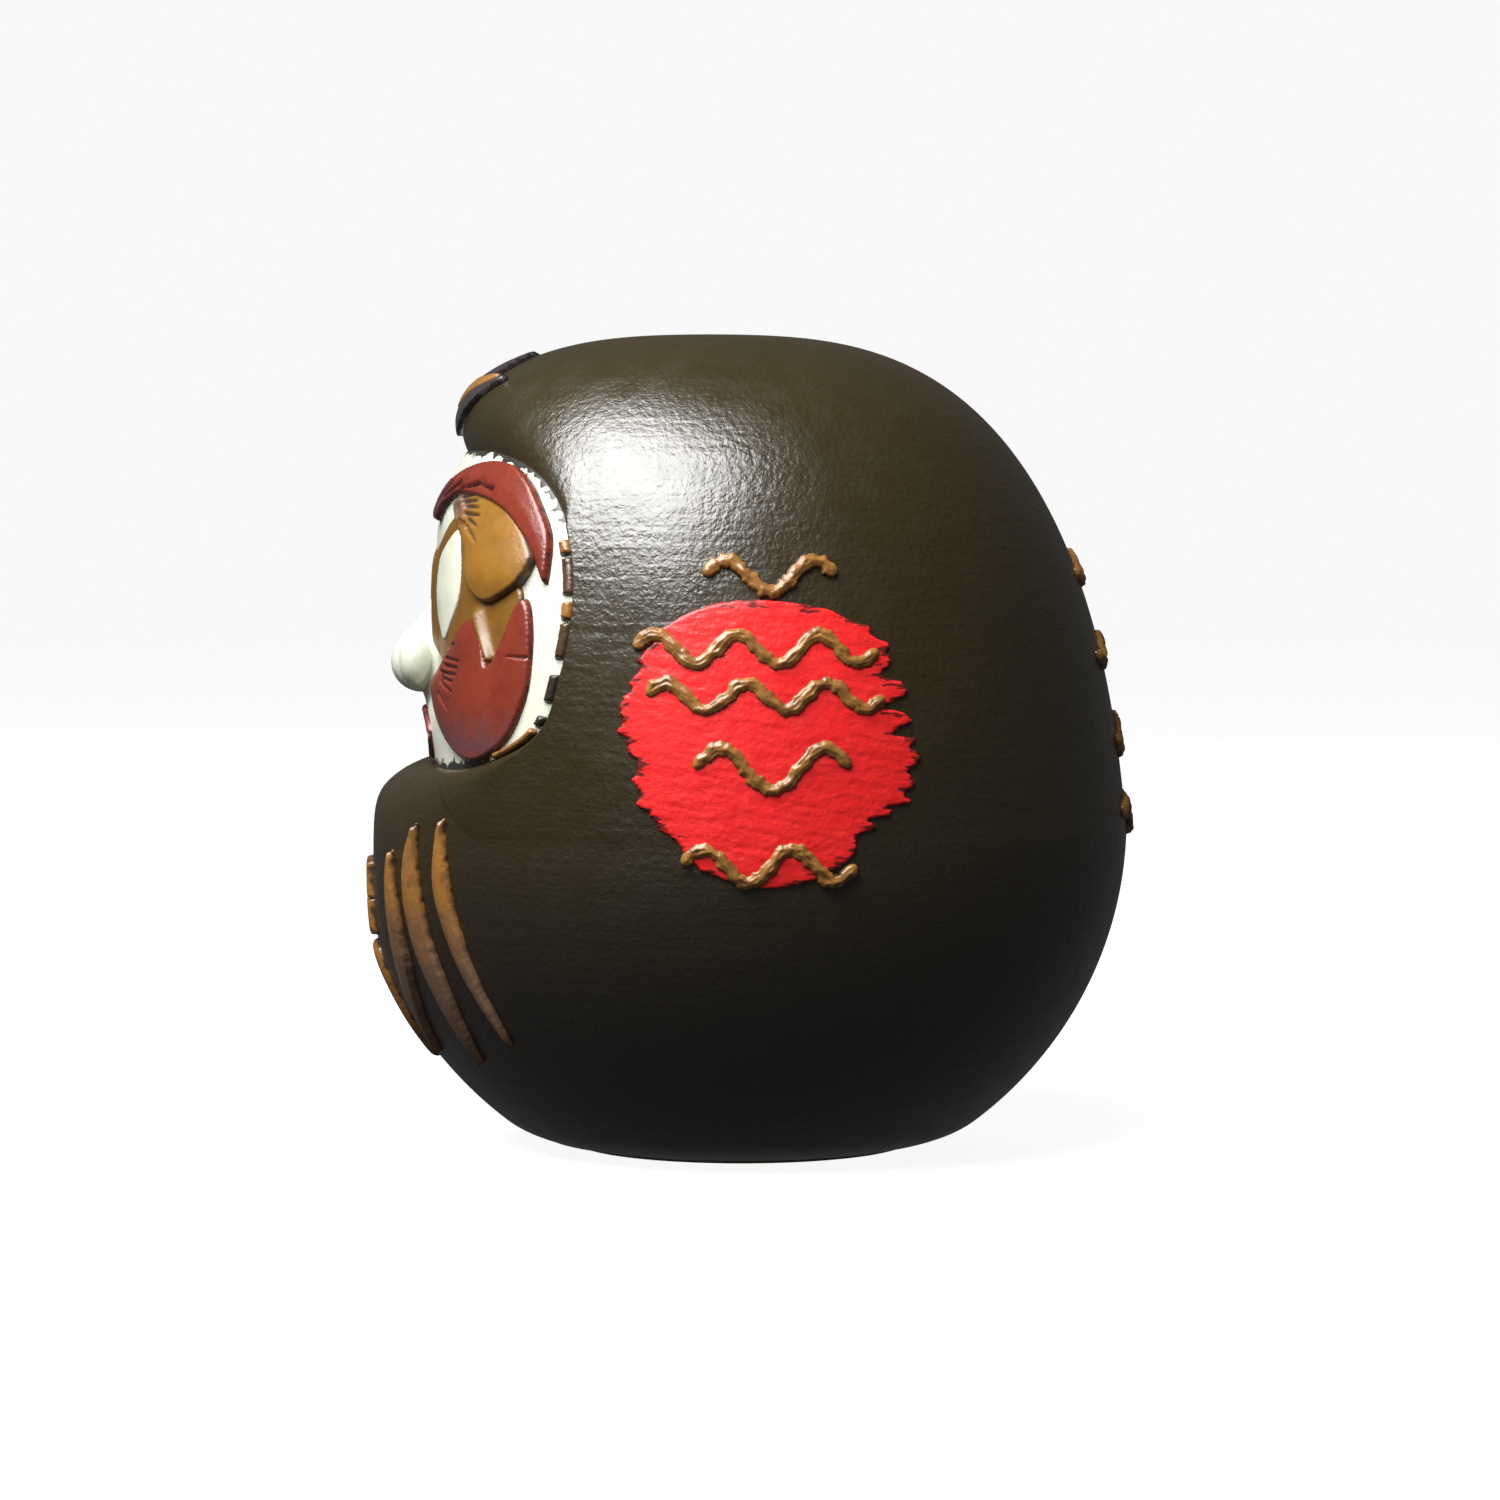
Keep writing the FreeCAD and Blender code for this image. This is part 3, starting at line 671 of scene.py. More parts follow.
def crowned(height, edge, rise, run):
    """A height that rises crisply at the outline and then slowly a little more."""
    def shape(a, b, inside):
        return height * crisp(inside, edge) + rise * ramp(inside, run)
    return shape


def brought_down(outline, lift):
    """The foot of raised paint on the face, given the outline of its top."""
    foot = outline
    for _ in range(3):
        a, b = foot.T
        normal = outward_normal(face_surface, a, b, face_surface(a, b))
        foot = outline - lift * normal[:, (0, 2)]
    return foot


class BodyFront:
    """The front of the shell as it really is, with its rolled edges, found by casting rays at it."""

    def __init__(self, whole):
        self.tree = BVHTree.FromPolygons(
            [v.co for v in whole.data.vertices],
            [p.vertices for p in whole.data.polygons],
        )

    def __call__(self, a, b):
        points = on_egg(a, b)
        flat = points.reshape(-1, 3)
        for k in range(len(flat)):
            start = Vector((flat[k, 0] * MM, -0.1, flat[k, 2] * MM))
            hit = self.tree.ray_cast(start, Vector((0, 1, 0)))[0]
            if hit is not None and hit.y < 0:
                flat[k] = (flat[k, 0], hit.y / MM, flat[k, 2])
        return flat.reshape(points.shape)


# ---------------------------------------------------------------- paints

def display(colour):
    """Scene colour of a colour given as it is seen, 0 to 255."""
    return tuple(((c / 255 + 0.055) / 1.055) ** 2.4 for c in colour) + (1.0,)


class Look:
    """A paint built up node by node: a colour, patches of other colours, roughness and fine relief."""

    def __init__(self, name, colour, roughness=0.35, specular=0.5):
        self.material = bpy.data.materials.new(name)
        self.material.use_nodes = True
        self.nodes = self.material.node_tree.nodes
        self.links = self.material.node_tree.links
        self.shader = self.nodes["Principled BSDF"]
        self.shader.inputs["Base Color"].default_value = display(colour)
        self.shader.inputs["Roughness"].default_value = roughness
        self.shader.inputs["Specular IOR Level"].default_value = specular
        self.place = self.nodes.new("ShaderNodeTexCoord").outputs["Object"]
        self.colour = None
        self.normal = None

    def noise(self, size, detail=3.0, stretch=(1, 1, 1), offset=0.0):
        """Cloudy noise; size is its grain in millimetres, and stretch lengthens the grain along each axis."""
        mapping = self.nodes.new("ShaderNodeMapping")
        mapping.inputs["Location"].default_value = (offset, offset * 0.7, offset * 1.3)
        mapping.inputs["Scale"].default_value = tuple(1 / s for s in stretch)
        self.links.new(self.place, mapping.inputs["Vector"])
        cloud = self.nodes.new("ShaderNodeTexNoise")
        cloud.inputs["Scale"].default_value = 1 / (size * MM)
        cloud.inputs["Detail"].default_value = detail
        self.links.new(mapping.outputs[0], cloud.inputs["Vector"])
        return cloud.outputs[0]

    def number(self, name):
        """A number stored with the points of the piece."""
        reader = self.nodes.new("ShaderNodeAttribute")
        reader.attribute_name = name
        return reader.outputs["Fac"]

    def along(self, axis):
        """The place along the X, Y or Z axis, in metres."""
        parts = self.nodes.new("ShaderNodeSeparateXYZ")
        self.links.new(self.place, parts.inputs[0])
        return parts.outputs[axis]

    def span(self, value, low, high, start=0.0, end=1.0):
        """Carries a value from one range over to another, and holds it there."""
        carry = self.nodes.new("ShaderNodeMapRange")
        for name, number in zip(("From Min", "From Max", "To Min", "To Max"), (low, high, start, end)):
            carry.inputs[name].default_value = number
        self.links.new(value, carry.inputs["Value"])
        return carry.outputs[0]

    def combine(self, kind, *values):
        """Arithmetic on one or two values."""
        sums = self.nodes.new("ShaderNodeMath")
        sums.operation = kind
        for value, socket in zip(values, sums.inputs):
            self.links.new(value, socket)
        return sums.outputs[0]

    def wander(self, value, size, detail, reach):
        """A value moved up and down by cloudy noise."""
        return self.combine("ADD", value, self.span(self.noise(size, detail), 0, 1, -reach, reach))

    def from_middle(self):
        """How far the place lies to the left or right of the middle, with a wandering edge."""
        return self.wander(self.combine("ABSOLUTE", self.along("X")), 3, 3, 0.004)

    def tint(self, value, low, high, share, colour):
        """Lays a colour over the paint: none where the value is low, and share of it where it is high."""
        base = self.shader.inputs["Base Color"]
        mix = self.nodes.new("ShaderNodeMix")
        mix.data_type = "RGBA"
        self.links.new(self.span(value, low, high, 0, share), mix.inputs[0])
        mix.inputs[6].default_value = tuple(base.default_value)
        mix.inputs[7].default_value = display(colour)
        if self.colour is not None:
            self.links.new(self.colour, mix.inputs[6])
        self.colour = mix.outputs[2]
        self.links.new(self.colour, base)

    def rough(self, size, detail, low, high):
        """Lets the roughness vary with cloudy noise."""
        value = self.span(self.noise(size, detail), 0.3, 0.7, low, high)
        self.links.new(value, self.shader.inputs["Roughness"])

    def relief(self, depth, *noise):
        """Fine relief of cloudy noise on the paint; depth is in millimetres."""
        bump = self.nodes.new("ShaderNodeBump")
        bump.inputs["Strength"].default_value = 1.0
        bump.inputs["Distance"].default_value = depth * MM
        self.links.new(self.noise(*noise), bump.inputs["Height"])
        if self.normal is not None:
            self.links.new(self.normal, bump.inputs["Normal"])
        self.normal = bump.outputs[0]
        self.links.new(self.normal, self.shader.inputs["Normal"])


def lacquer_look():
    """Dark olive lacquer over ridged papier-mache, with a grain like orange peel, and painted shade that
    makes it darker and greyer towards the bottom.
    """
    look = Look("lacquer", (43, 35, 14), specular=0.8)
    look.tint(look.noise(14), 0.45, 0.8, 0.5, (38, 31, 14))
    # Painted shade: darker and greyer towards the bottom, where the lamps reach less.
    look.tint(look.along("Z"), 0.075, 0.02, 0.75, (24, 23, 23))
    look.tint(look.number("rim"), 0.4, 1.0, 0.6, (60, 48, 44))
    look.rough(5, 4, 0.25, 0.35)
    look.relief(0.11, 2.2, 2, (9, 9, 0.8))
    look.relief(0.14, 1.2, 2)
    look.relief(0.05, 0.5, 2)
    return look.material


def cream_look():
    """Cream paint, brushed on thickly, with specks, and a dark band at its edge that is partly dark paint and
    partly painted shade where the face runs in under the shell.
    """
    look = Look("cream", (198, 200, 184), specular=0.45)
    look.tint(look.noise(9), 0.5, 0.85, 0.5, (194, 196, 177))
    look.tint(look.noise(0.7), 0.70, 0.80, 0.6, (150, 145, 125))
    ragged = look.span(look.noise(1.7), 0.3, 0.7, -0.8, 0.7)
    # Dark band along the edge of the face: dark paint, and painted shade in the crevice under the hood and
    # above the chest.
    look.tint(look.combine("ADD", look.number("dark_edge_and_shade"), ragged), 0.0, 0.15, 0.97, (24, 20, 17))
    look.rough(3, 3, 0.28, 0.42)
    look.relief(0.10, 1.6)
    look.relief(0.03, 0.5)
    return look.material


def paint_look(name, colour, second, dark, edge_width=0.2, roughness=(0.26, 0.42), grain=0.07):
    """A thick hand-brushed paint: two mixed tones, a dark outline and dark drawn lines."""
    look = Look(name, colour)
    look.tint(look.noise(4.5, 4), 0.45, 0.72, 0.8, second)
    uneven = look.span(look.noise(1.8), 0.3, 0.7, 0.0, 2.0 * edge_width)
    look.tint(look.combine("SUBTRACT", look.number("edge"), uneven), 0.0, -0.25, 0.92, dark)
    look.tint(look.number("mark"), 0.35, 0.8, 0.9, dark)
    look.rough(2.5, 3, *roughness)
    look.relief(grain, 1.3, 4)
    look.relief(grain * 0.3, 0.4)
    return look


def red_look(name, root=False, fade=False):
    """Brick red; a brow is dark at its root, and a cheek fades to purple below."""
    look = paint_look(name, (113, 45, 30), (98, 35, 26), (40, 25, 25), roughness=(0.2, 0.32))
    if root:
        look.tint(look.from_middle(), 0.024, 0.017, 0.85, (74, 44, 46))
    if fade:
        low = look.wander(look.along("Z"), 4, 3, 0.004)
        look.tint(low, 0.083, 0.0765, 0.75, (88, 62, 66))
        look.tint(low, 0.0765, 0.0735, 0.6, (120, 48, 44))
    return look.material


def lip_look():
    """Dark red lips, nearly black in places."""
    look = paint_look("lip", (112, 42, 32), (96, 34, 28), (40, 25, 25))
    look.tint(look.noise(3.2), 0.56, 0.62, 1, (44, 28, 26))
    return look.material


def ochre_look(name, shade, root=False):
    """Ochre; an eyelid is grey-brown at its root, beside the nose."""
    tones = [tuple(int(c * shade) for c in tone) for tone in ((130, 90, 30), (116, 79, 29))]
    look = paint_look(name, *tones, (70, 56, 48), edge_width=0.4)
    if root:
        high = look.span(look.along("Z"), 0.112, 0.117)
        near = look.span(look.from_middle(), 0.036, 0.027, 0, 0.85)
        look.tint(look.combine("MULTIPLY", near, high), 0, 1, 1, (92, 72, 64))
    return look.material


def gold_look(name, dark_share=0.35, ribbed=False, toned=False):
    """Bronze-gold paint over dark lacquer, worn through in places.

    A rib is duller below. A toned piece runs from gold to nearly black by the number stored with it.
    """
    look = paint_look(name, (140, 96, 44), (118, 82, 46), (34, 27, 22), roughness=(0.16, 0.34), grain=0.09)
    look.tint(look.noise(3.2, 4, offset=3.0), 0.52, 0.62, dark_share, (62, 46, 32))
    if ribbed:
        low = look.wander(look.along("Z"), 3, 4, 0.006)
        look.tint(low, 0.05, 0.035, 0.85, (104, 82, 66))
        look.tint(low, 0.030, 0.022, 0.7, (92, 66, 42))
    if toned:
        look.tint(look.number("tone"), 1, 0, 1, (46, 38, 31))
    return look.material


def sun_look():
    """Bright red brushed over the lacquer in level strokes."""
    look = Look("sun red", (226, 36, 36))
    look.tint(look.noise(3.0, 4, (2.5, 2.5, 0.7)), 0.45, 0.7, 0.6, (206, 27, 28))
    look.tint(look.noise(2.0, 4, (1.5, 1.5, 0.8), 5.0), 0.60, 0.74, 0.4, (238, 70, 60))
    streaks = look.span(look.noise(1.4, 3, (3, 3, 0.6)), 0.45, 0.72, 0, 2.2)
    look.tint(look.combine("SUBTRACT", look.number("edge"), streaks), 0.1, -0.25, 0.9, (70, 22, 18))
    look.rough(3, 3, 0.3, 0.45)
    look.relief(0.22, 1.9, 3, (1.3, 1.3, 0.9))
    look.relief(0.08, 0.8)
    return look.material


def crest_look():
    """Dark paint, a little bluer than the lacquer."""
    tones = ((52, 47, 48), (42, 37, 33), (22, 18, 18))
    return paint_look("crest dark", *tones, edge_width=0.4, roughness=(0.16, 0.3)).material


def eye_look():
    """Cream paint with a thin brown outline."""
    tones = ((204, 206, 188), (194, 196, 174), (120, 96, 60))
    return paint_look("eye cream", *tones, edge_width=0.12, grain=0.03).material


LACQUER = lacquer_look()
CREAM = cream_look()
BROW_RED = red_look("brow red", root=True)
CHEEK_RED = red_look("cheek red", fade=True)
LIP_RED = lip_look()
LID_OCHRE = ochre_look("lid ochre", 1.0, root=True)
SOCKET_OCHRE = ochre_look("socket ochre", 0.86)
EYE_CREAM = eye_look()
GOLD = gold_look("gold")
RIB_GOLD = gold_look("rib gold", ribbed=True)
RIM_GOLD = gold_look("rim gold", dark_share=0.5, toned=True)
DARK_GOLD = gold_look("dark gold", dark_share=0.95)
CREST_DARK = crest_look()
SUN_RED = sun_look()


# ---------------------------------------------------------------- the body

def add_rim_number(obj):
    """Marks how near each point of the shell is to the corner of the face opening."""
    corner, _ = rim_lines()
    points = points_of(obj)
    near = np.zeros(len(points))
    front = np.nonzero((points[:, 1] < -5) & (points[:, 2] > 62))[0]
    for start in range(0, len(front), 2000):
        some = front[start:start + 2000]
        gaps = np.linalg.norm(points[some][:, None, :] - corner[None, ::3, :], axis=2).min(axis=1)
        near[some] = np.clip(1 - gaps / 2.2, 0, 1) * smooth_step(points[some, 2], 104, 116)
    store(obj, "rim", near)


whole = shell_mesh()
body_front = BodyFront(whole)
for half, above in (("lower", False), ("upper", True)):
    shell = part_shell(whole, f"body_{half}", above)
    add_rim_number(shell)
    dress(shell, LACQUER, f"shell_{half}")
bpy.data.objects.remove(whole)


# ---------------------------------------------------------------- the face

def add_dark_edge_and_shade(obj):
    """Stores how far, in millimetres, each point of the face plate lies inside the dark band at its edge:
    dark paint, and painted shade where the face runs in under the hood and above the chest.
    """
    points = points_of(obj)
    gap, _ = distance_to(np.stack(inner_opening(RIM_ANGLES), axis=1), points[:, (0, 2)])
    x, z = points[:, 0], points[:, 2]
    # The band is partly dark paint and partly painted shade, widest at the top under the hood and at the
    # bottom over the chest.
    top = 1.0 * smooth_step(z, 112, 121) + 0.35 * np.sin(x * 0.35 + 1) - 0.4
    bottom = 1.6 * smooth_step(-z, -79, -74) + 0.4 * np.sin(x * 0.6) - 0.3
    store(obj, "dark_edge_and_shade", np.where(z > 92, top, bottom) - gap)


plate = face_plate()
add_dark_edge_and_shade(plate)
dress(plate, CREAM, "face_mask")

# Outlines of the painted pieces of the left half of the face, and the creases drawn in them: where each
# starts and ends, and its width.
BROW = [
    (9, 117.5), (13, 121), (20, 124.5), (28, 126.5), (35, 127), (41, 125.8), (46, 123), (50, 119.3),
    (53.5, 114.8), (55.2, 110.5), (56.2, 105), (53.5, 109), (50, 113.5), (44, 118), (36, 120.4), (25, 121),
    (18, 119), (13, 116),
]
EYELID = [
    (24, 119.6), (30, 121.8), (37, 121.2), (43.5, 119), (48.5, 115.8), (51.8, 112.2), (53.3, 109.4),
    (52.6, 105.5), (49.7, 102.8), (46, 101.6), (42.2, 103), (38.8, 105.5), (37, 109), (35, 111.8),
    (31, 114.5), (27, 116.8),
]
EYE = [
    (31.8, 114.6), (33.8, 111), (34.9, 107.5), (35.2, 104), (34.4, 100.8), (31.6, 97.6), (27.2, 94.4),
    (22.5, 96.6), (18, 100), (17, 104.5), (20, 108.8), (26.5, 112.4),
]
SOCKET = [
    (29, 117), (23, 114), (17, 109.8), (12.6, 104), (12.2, 98.5), (15, 94.5), (20, 92.2), (26, 90.6),
    (33, 91.5), (38, 94.5), (43, 96.6), (46, 94.5), (48.6, 89.2), (50.5, 93), (52, 98), (53, 101.5),
    (51.5, 105), (46, 110), (38, 115),
]
CHEEK = [
    (20, 86.5), (27, 89.6), (34, 93.4), (38.4, 97), (43, 99.2), (46, 97.4), (48.9, 90.6), (51.2, 96),
    (52.4, 101), (53.7, 102.8), (55.2, 100.8), (56.6, 96), (57.4, 91), (57.6, 86.5), (56.8, 82),
    (55.2, 78.4), (52, 75.6), (47.5, 73.9), (41, 74.6), (33, 77.6), (25, 82),
]
LID_MARKS = [
    ((27.4, 119.8), (32.6, 120.3), 0.45), ((29.5, 118.9), (35, 119.3), 0.45),
    ((31.1, 118.2), (36.4, 118), 0.45), ((32.2, 116.9), (37.8, 116.6), 0.45),
    ((34.2, 115.9), (38.2, 114.7), 0.45), ((34.6, 114.7), (39.7, 112), 0.45),
    ((29.9, 115.5), (33.9, 115.2), 0.5), ((27, 118), (29.5, 116.5), 0.9),
]
CHEEK_MARKS = [
    ((32.5, 93.3), (37.6, 94.1), 0.4), ((32, 91.6), (41, 91), 0.4), ((33, 90.2), (40.8, 89.8), 0.45),
    ((31, 88.9), (40.5, 88.6), 0.4), ((31.9, 88.1), (39.3, 87.3), 0.4), ((32, 87.3), (39.1, 85.5), 0.4),
    ((31.6, 85), (37.4, 82.4), 0.4), ((57.8, 92.1), (52.3, 92.2), 0.3),
]
ROOT_MARKS = [
    ((38.5, 120.9), (33.6, 121.9), 0.35), ((33.6, 121.9), (27.8, 121.2), 0.4),
    ((27.8, 121.2), (22.5, 119.2), 0.5), ((22.5, 119.2), (16.5, 117.3), 0.6),
    ((26, 122.3), (18, 119.6), 0.45), ((21, 122.5), (14, 119.0), 0.45),
]
RIDGE = [
    ((38, 125.9), (43.9, 123.7)), ((43.9, 123.7), (49.5, 119.3)), ((49.5, 119.3), (53.2, 114.4)),
    ((53.2, 114.4), (55.2, 109.3)),
]


def swell(inside, run):
    """Rises from 0 at the outline to 1 at the run, fast at first and then level."""
    share = ramp(inside, run)
    return share * (2 - share)


def brow_height(a, b, inside):
    """A crisp-edged brow with a ridge along its rear and creases at its root."""
    ridge = line_mark(a, b, [(start, end, 0.8) for start, end in RIDGE]) * ramp(inside, 0.9)
    creases = line_mark(a, b, ROOT_MARKS) * ramp(inside, 0.6)
    return 1.45 * crisp(inside, 0.5) + 0.5 * ramp(inside, 4) + 0.5 * ridge - 0.8 * creases


def lid_height(a, b, inside):
    """A heavy eyelid that bulges out over the socket."""
    bulge = 1.0 + 1.7 * smooth_step(-b, -119, -104)
    creases = line_mark(a, b, LID_MARKS) * ramp(inside, 0.6)
    return bulge * (0.75 * crisp(inside, 0.6) + 0.35 * swell(inside, 6)) - 0.75 * creases


def cheek_height(a, b, inside):
    """A full cheek, creased beside the nose and cracked across its tip."""
    edge = 1.9 - 0.8 * smooth_step(a, 44, 54)
    creases = line_mark(a, b, CHEEK_MARKS) * ramp(inside, 0.7)
    return edge * crisp(inside, 0.5) + 0.9 * swell(inside, 9) - 0.7 * creases


def socket_height(a, b, inside):
    """A low bed round the eye, with a raised tongue that hangs between the lobes of the cheek."""
    tongue = line_mark(a, b, [((43.5, 98.8), (48.7, 91.5), 1.6)])
    ring = smooth_step(-a, -24, -15) * smooth_step(-b, -114, -108)
    return (0.8 + 0.7 * ring) * crisp(inside, 0.5) + 1.6 * tongue * ramp(inside, 0.8)


def eye_height(a, b, inside):
    """A smooth, slightly rounded eye, set in its ring."""
    return 0.95 * crisp(inside, 0.4) + 0.5 * swell(inside, 8)


# Name, CAD node, slot, outline of the top, how high that stands, height, creases and material.
FACE_PIECES = [
    ("socket", "eye_socket", "face_ochre", SOCKET, 1.0, socket_height, (), SOCKET_OCHRE),
    ("eye", "eye_white", "eye_cream", EYE, 1.0, eye_height, (), EYE_CREAM),
    ("lid", "eyelid", "face_ochre", EYELID, 1.6, lid_height, LID_MARKS, LID_OCHRE),
    ("eyebrow", "brow", "face_red", BROW, 1.6, brow_height, ROOT_MARKS, BROW_RED),
    ("cheek_lobe", "cheek", "face_red", CHEEK, 1.7, cheek_height, CHEEK_MARKS, CHEEK_RED),
]

for side, flipped in SIDES:
    for name, node, slot, corners, lift, height, marks, material in FACE_PIECES:
        outline = brought_down(smooth_outline(corners), lift)
        piece = patch(f"{name}_{side}", outline, 0.25, face_surface, height, marks, flipped)
        dress(piece, material, f"{node}_{side}")

# The right half of the nose seen from the front: a narrow bridge that widens to the wings.
NOSE_HALF = [
    (0, 108.5), (5.5, 107), (7.6, 101), (9.4, 96.5), (12, 92.5), (12.2, 88), (9.8, 83.5), (5, 81),
    (0, 80.2),
]
nose = patch("nose_tip", both_halves(NOSE_HALF), 0.25, face_surface, bridge_height)
wing_place, wing_size = NOSE_WING
united(nose, [
    ellipsoid("nose_ball", *NOSE_BALL),
    ellipsoid("nose_wing_left", wing_place, wing_size),
    ellipsoid("nose_wing_right", np.array(wing_place) * [-1, 1, 1], wing_size),
])
# The nose gets none of the dark edge band and its painted shade.
store(nose, "dark_edge_and_shade", -9.0)
dress(nose, CREAM, "nose")


LIPS_HEIGHT = 76.8


def lips_ring():
    """The band of the lips: an oval ring as one loop, parted by a hair at one corner."""
    turn = np.linspace(0.012, 2 * math.pi - 0.012, 160)
    outer, inner = (
        np.stack([across * np.cos(turn), LIPS_HEIGHT + up * np.sin(turn)], axis=1)
        for across, up in ((13.0, 5.0), (11.3, 3.4))
    )
    return np.concatenate([outer, inner[::-1]])


dress(patch("mouth", lips_ring(), 0.2, face_surface, rounded(0.9, 0.8)), LIP_RED, "lips")


# ---------------------------------------------------------------- gold work

def joined(name, parts):
    """Several patches as one piece."""
    first = parts[0]
    with bpy.context.temp_override(active_object=first, selected_editable_objects=parts):
        bpy.ops.object.join()
    first.name = name
    return first


def rim_strip(low, high):
    """The outline of a short bar that follows the edge of the opening between two heights."""
    fine = np.linspace(-math.pi / 2, math.pi / 2, 4001)
    edge = np.stack(inner_opening(fine), axis=1)
    edge = edge[(edge[:, 1] >= low) & (edge[:, 1] <= high)]
    slope = unit(np.gradient(edge, axis=0))
    inward = np.stack([-slope[:, 1], slope[:, 0]], axis=1)
    outer = edge - inward * 0.25
    inner = edge + inward * 1.15
    return np.concatenate([outer[::12], outer[-1:], inner[::-12], inner[:1]])


# Lowest and highest point of each bar, and how gold it is.
RIM_BARS = [
    (110.2, 112.8, 1.0), (103.2, 109.8, 0.2), (98.9, 102.2, 1.0), (92.2, 98.5, 0.15), (84.6, 89.6, 0.0),
    (80.2, 82.2, 0.0), (74.4, 79.8, 0.9),
]

for side, flipped in SIDES:
    bars = []
    for low, high, tone in RIM_BARS:
        height = rounded(1.1 + 0.3 * tone, 0.8)
        bar = patch("bar", rim_strip(low, high), 0.25, face_surface, height, mirror=flipped)
        store(bar, "tone", tone)
        bars.append(bar)
    dress(joined(f"rim_marks_{side}", bars), RIM_GOLD, f"rim_bars_{side}")

# The front and the rear edge of each rib: degrees round from the front, and height.
RIBS = [
    (
        [(24.2, 57.2), (22, 52.5), (20.8, 46.9), (18.8, 39), (16.2, 30.8), (14.2, 23.3), (14.5, 18.8)],
        [(25.6, 57), (26.4, 51.2), (26.4, 46.2), (25.8, 39.8), (24.4, 33.3), (21.4, 26.5), (17.2, 19.4)],
    ),
    (
        [(31.9, 62.6), (28.6, 57.7), (27.4, 52.6), (27, 46.2), (27.2, 39.9), (28, 33.6), (29, 25.9),
         (31, 20.1)],
        [(33.2, 62.4), (33.8, 56.8), (34, 50.6), (34.3, 43.1), (35, 36.2), (35.6, 29.8), (35.6, 24.1),
         (33.4, 17.5)],
    ),
    (
        [(38.6, 63.6), (36.6, 60.8), (35.8, 55.8), (35.6, 50.8), (36.6, 44.6), (38.2, 37.1), (40.2, 30.3),
         (42.4, 23.3)],
        [(40, 63.4), (40.6, 58.6), (41, 53.6), (41.2, 47.4), (42, 41.2), (43, 35), (44.6, 28.7), (46, 20)],
    ),
]
draw = np.random.default_rng(11)


def wandering(count, reach, run=5):
    """Random numbers, one after another, that change smoothly over a run of them."""
    return np.convolve(draw.normal(0, 1, count + run - 1), np.ones(run) / run, "valid") * reach


def blade_share(height, front):
    """How wide a blade is at a height: slender, and drawn to a point at both ends."""
    share = (height - front[:, 1].min()) / np.ptp(front[:, 1])
    return 0.68 * (1 - np.abs(np.clip(2 * share - 1, -1, 1)) ** 3 * 0.75)


def rib_outline(front, rear):
    """A bow-shaped blade, given by its two edges as turn and height, with a ragged rear edge low down."""
    front = np.array(front) * [math.radians(1) * GIRTH, 1]
    rear = np.array(rear) * [math.radians(1) * GIRTH, 1]
    across = np.interp(front[:, 1], rear[::-1, 1], rear[::-1, 0])
    middle = np.stack([(front[:, 0] + across) / 2, front[:, 1]], axis=1)
    front = middle + (front - middle) * blade_share(front[:, 1], front)[:, None]
    rear_middle = np.interp(rear[:, 1], middle[::-1, 1], middle[::-1, 0])
    narrow = blade_share(rear[:, 1], front)
    rear = np.stack([rear_middle + (rear[:, 0] - rear_middle) * narrow, rear[:, 1]], axis=1)
    per_corner = 16
    loop = smooth_outline(np.concatenate([front, rear[::-1]]), per_corner)
    behind = np.arange(len(loop)) > len(front) * per_corner
    ragged = wandering(len(loop), 0.35, 9) * smooth_step(-loop[:, 1], -50, -36) * behind
    return loop + np.stack([ragged, np.zeros(len(loop))], axis=1)


for number, (front, rear) in enumerate(RIBS, start=1):
    for side, flipped in SIDES:
        outline = rib_outline(front, rear)
        height = crowned(1.15, 0.5, 0.45, 2.6)
        blade = patch(f"rib_blade_{side}_{number}", outline, 0.3, turned_surface, height, mirror=flipped)
        dress(blade, RIB_GOLD, f"rib_{side}_{number}")


def block_outline(low, high):
    """A rectangle with points along its sides."""
    corners = np.array([(-10, low), (10, low), (10, high), (-10, high)])
    share = np.arange(0, 1, 0.1)[None, :, None]
    spans = np.roll(corners, -1, axis=0) - corners
    return (corners[:, None, :] + spans[:, None, :] * share).reshape(-1, 2)


def block_height(a, b, inside):
    """A level block with soft upright grooves."""
    return rounded(1.35, 0.5)(a, b, inside) - 0.25 * np.sin(a * 2.1) ** 8 * ramp(inside, 0.8)


for name, low in (("lower", 39.9), ("upper", 46.7)):
    block = patch(f"chest_plate_{name}", block_outline(low, low + 6.6), 0.3, body_front, block_height)
    dress(block, DARK_GOLD, f"chest_block_{name}")

TONGUE_HALF = [(0, 38.5), (5, 37.4), (6.6, 33), (5.6, 26), (3.2, 20), (0, 16.5)]
tongue = patch("chest_drop", both_halves(TONGUE_HALF), 0.3, body_front, rounded(1.4, 1.6))
dress(tongue, GOLD, "chest_tongue")

CREST_HALF = [
    (0, 146.4), (4.5, 145.7), (7.4, 144.1), (9.5, 142.5), (13.5, 142.1), (17.2, 141.3), (16.2, 139.7),
    (14.6, 138.2), (12.6, 136.7), (9.8, 135), (6.8, 133.2), (3.5, 131.9), (0, 131.3),
]
FLAME_HALF = [
    (0, 141.5), (7.4, 141.6), (12, 141.8), (15.3, 141.4), (13.4, 140.1), (9.6, 139.1), (5.8, 138),
    (3, 136.9), (0, 135.9),
]
crest = patch("crest", both_halves(CREST_HALF), 0.25, body_front, crowned(1.1, 0.6, 0.25, 3))
dress(crest, CREST_DARK, "forehead_crest")
flame = patch("flame", both_halves(FLAME_HALF), 0.25, body_front, crowned(1.5, 0.5, 0.15, 2))
dress(flame, GOLD, "forehead_flame")


# ---------------------------------------------------------------- the sun and the waves

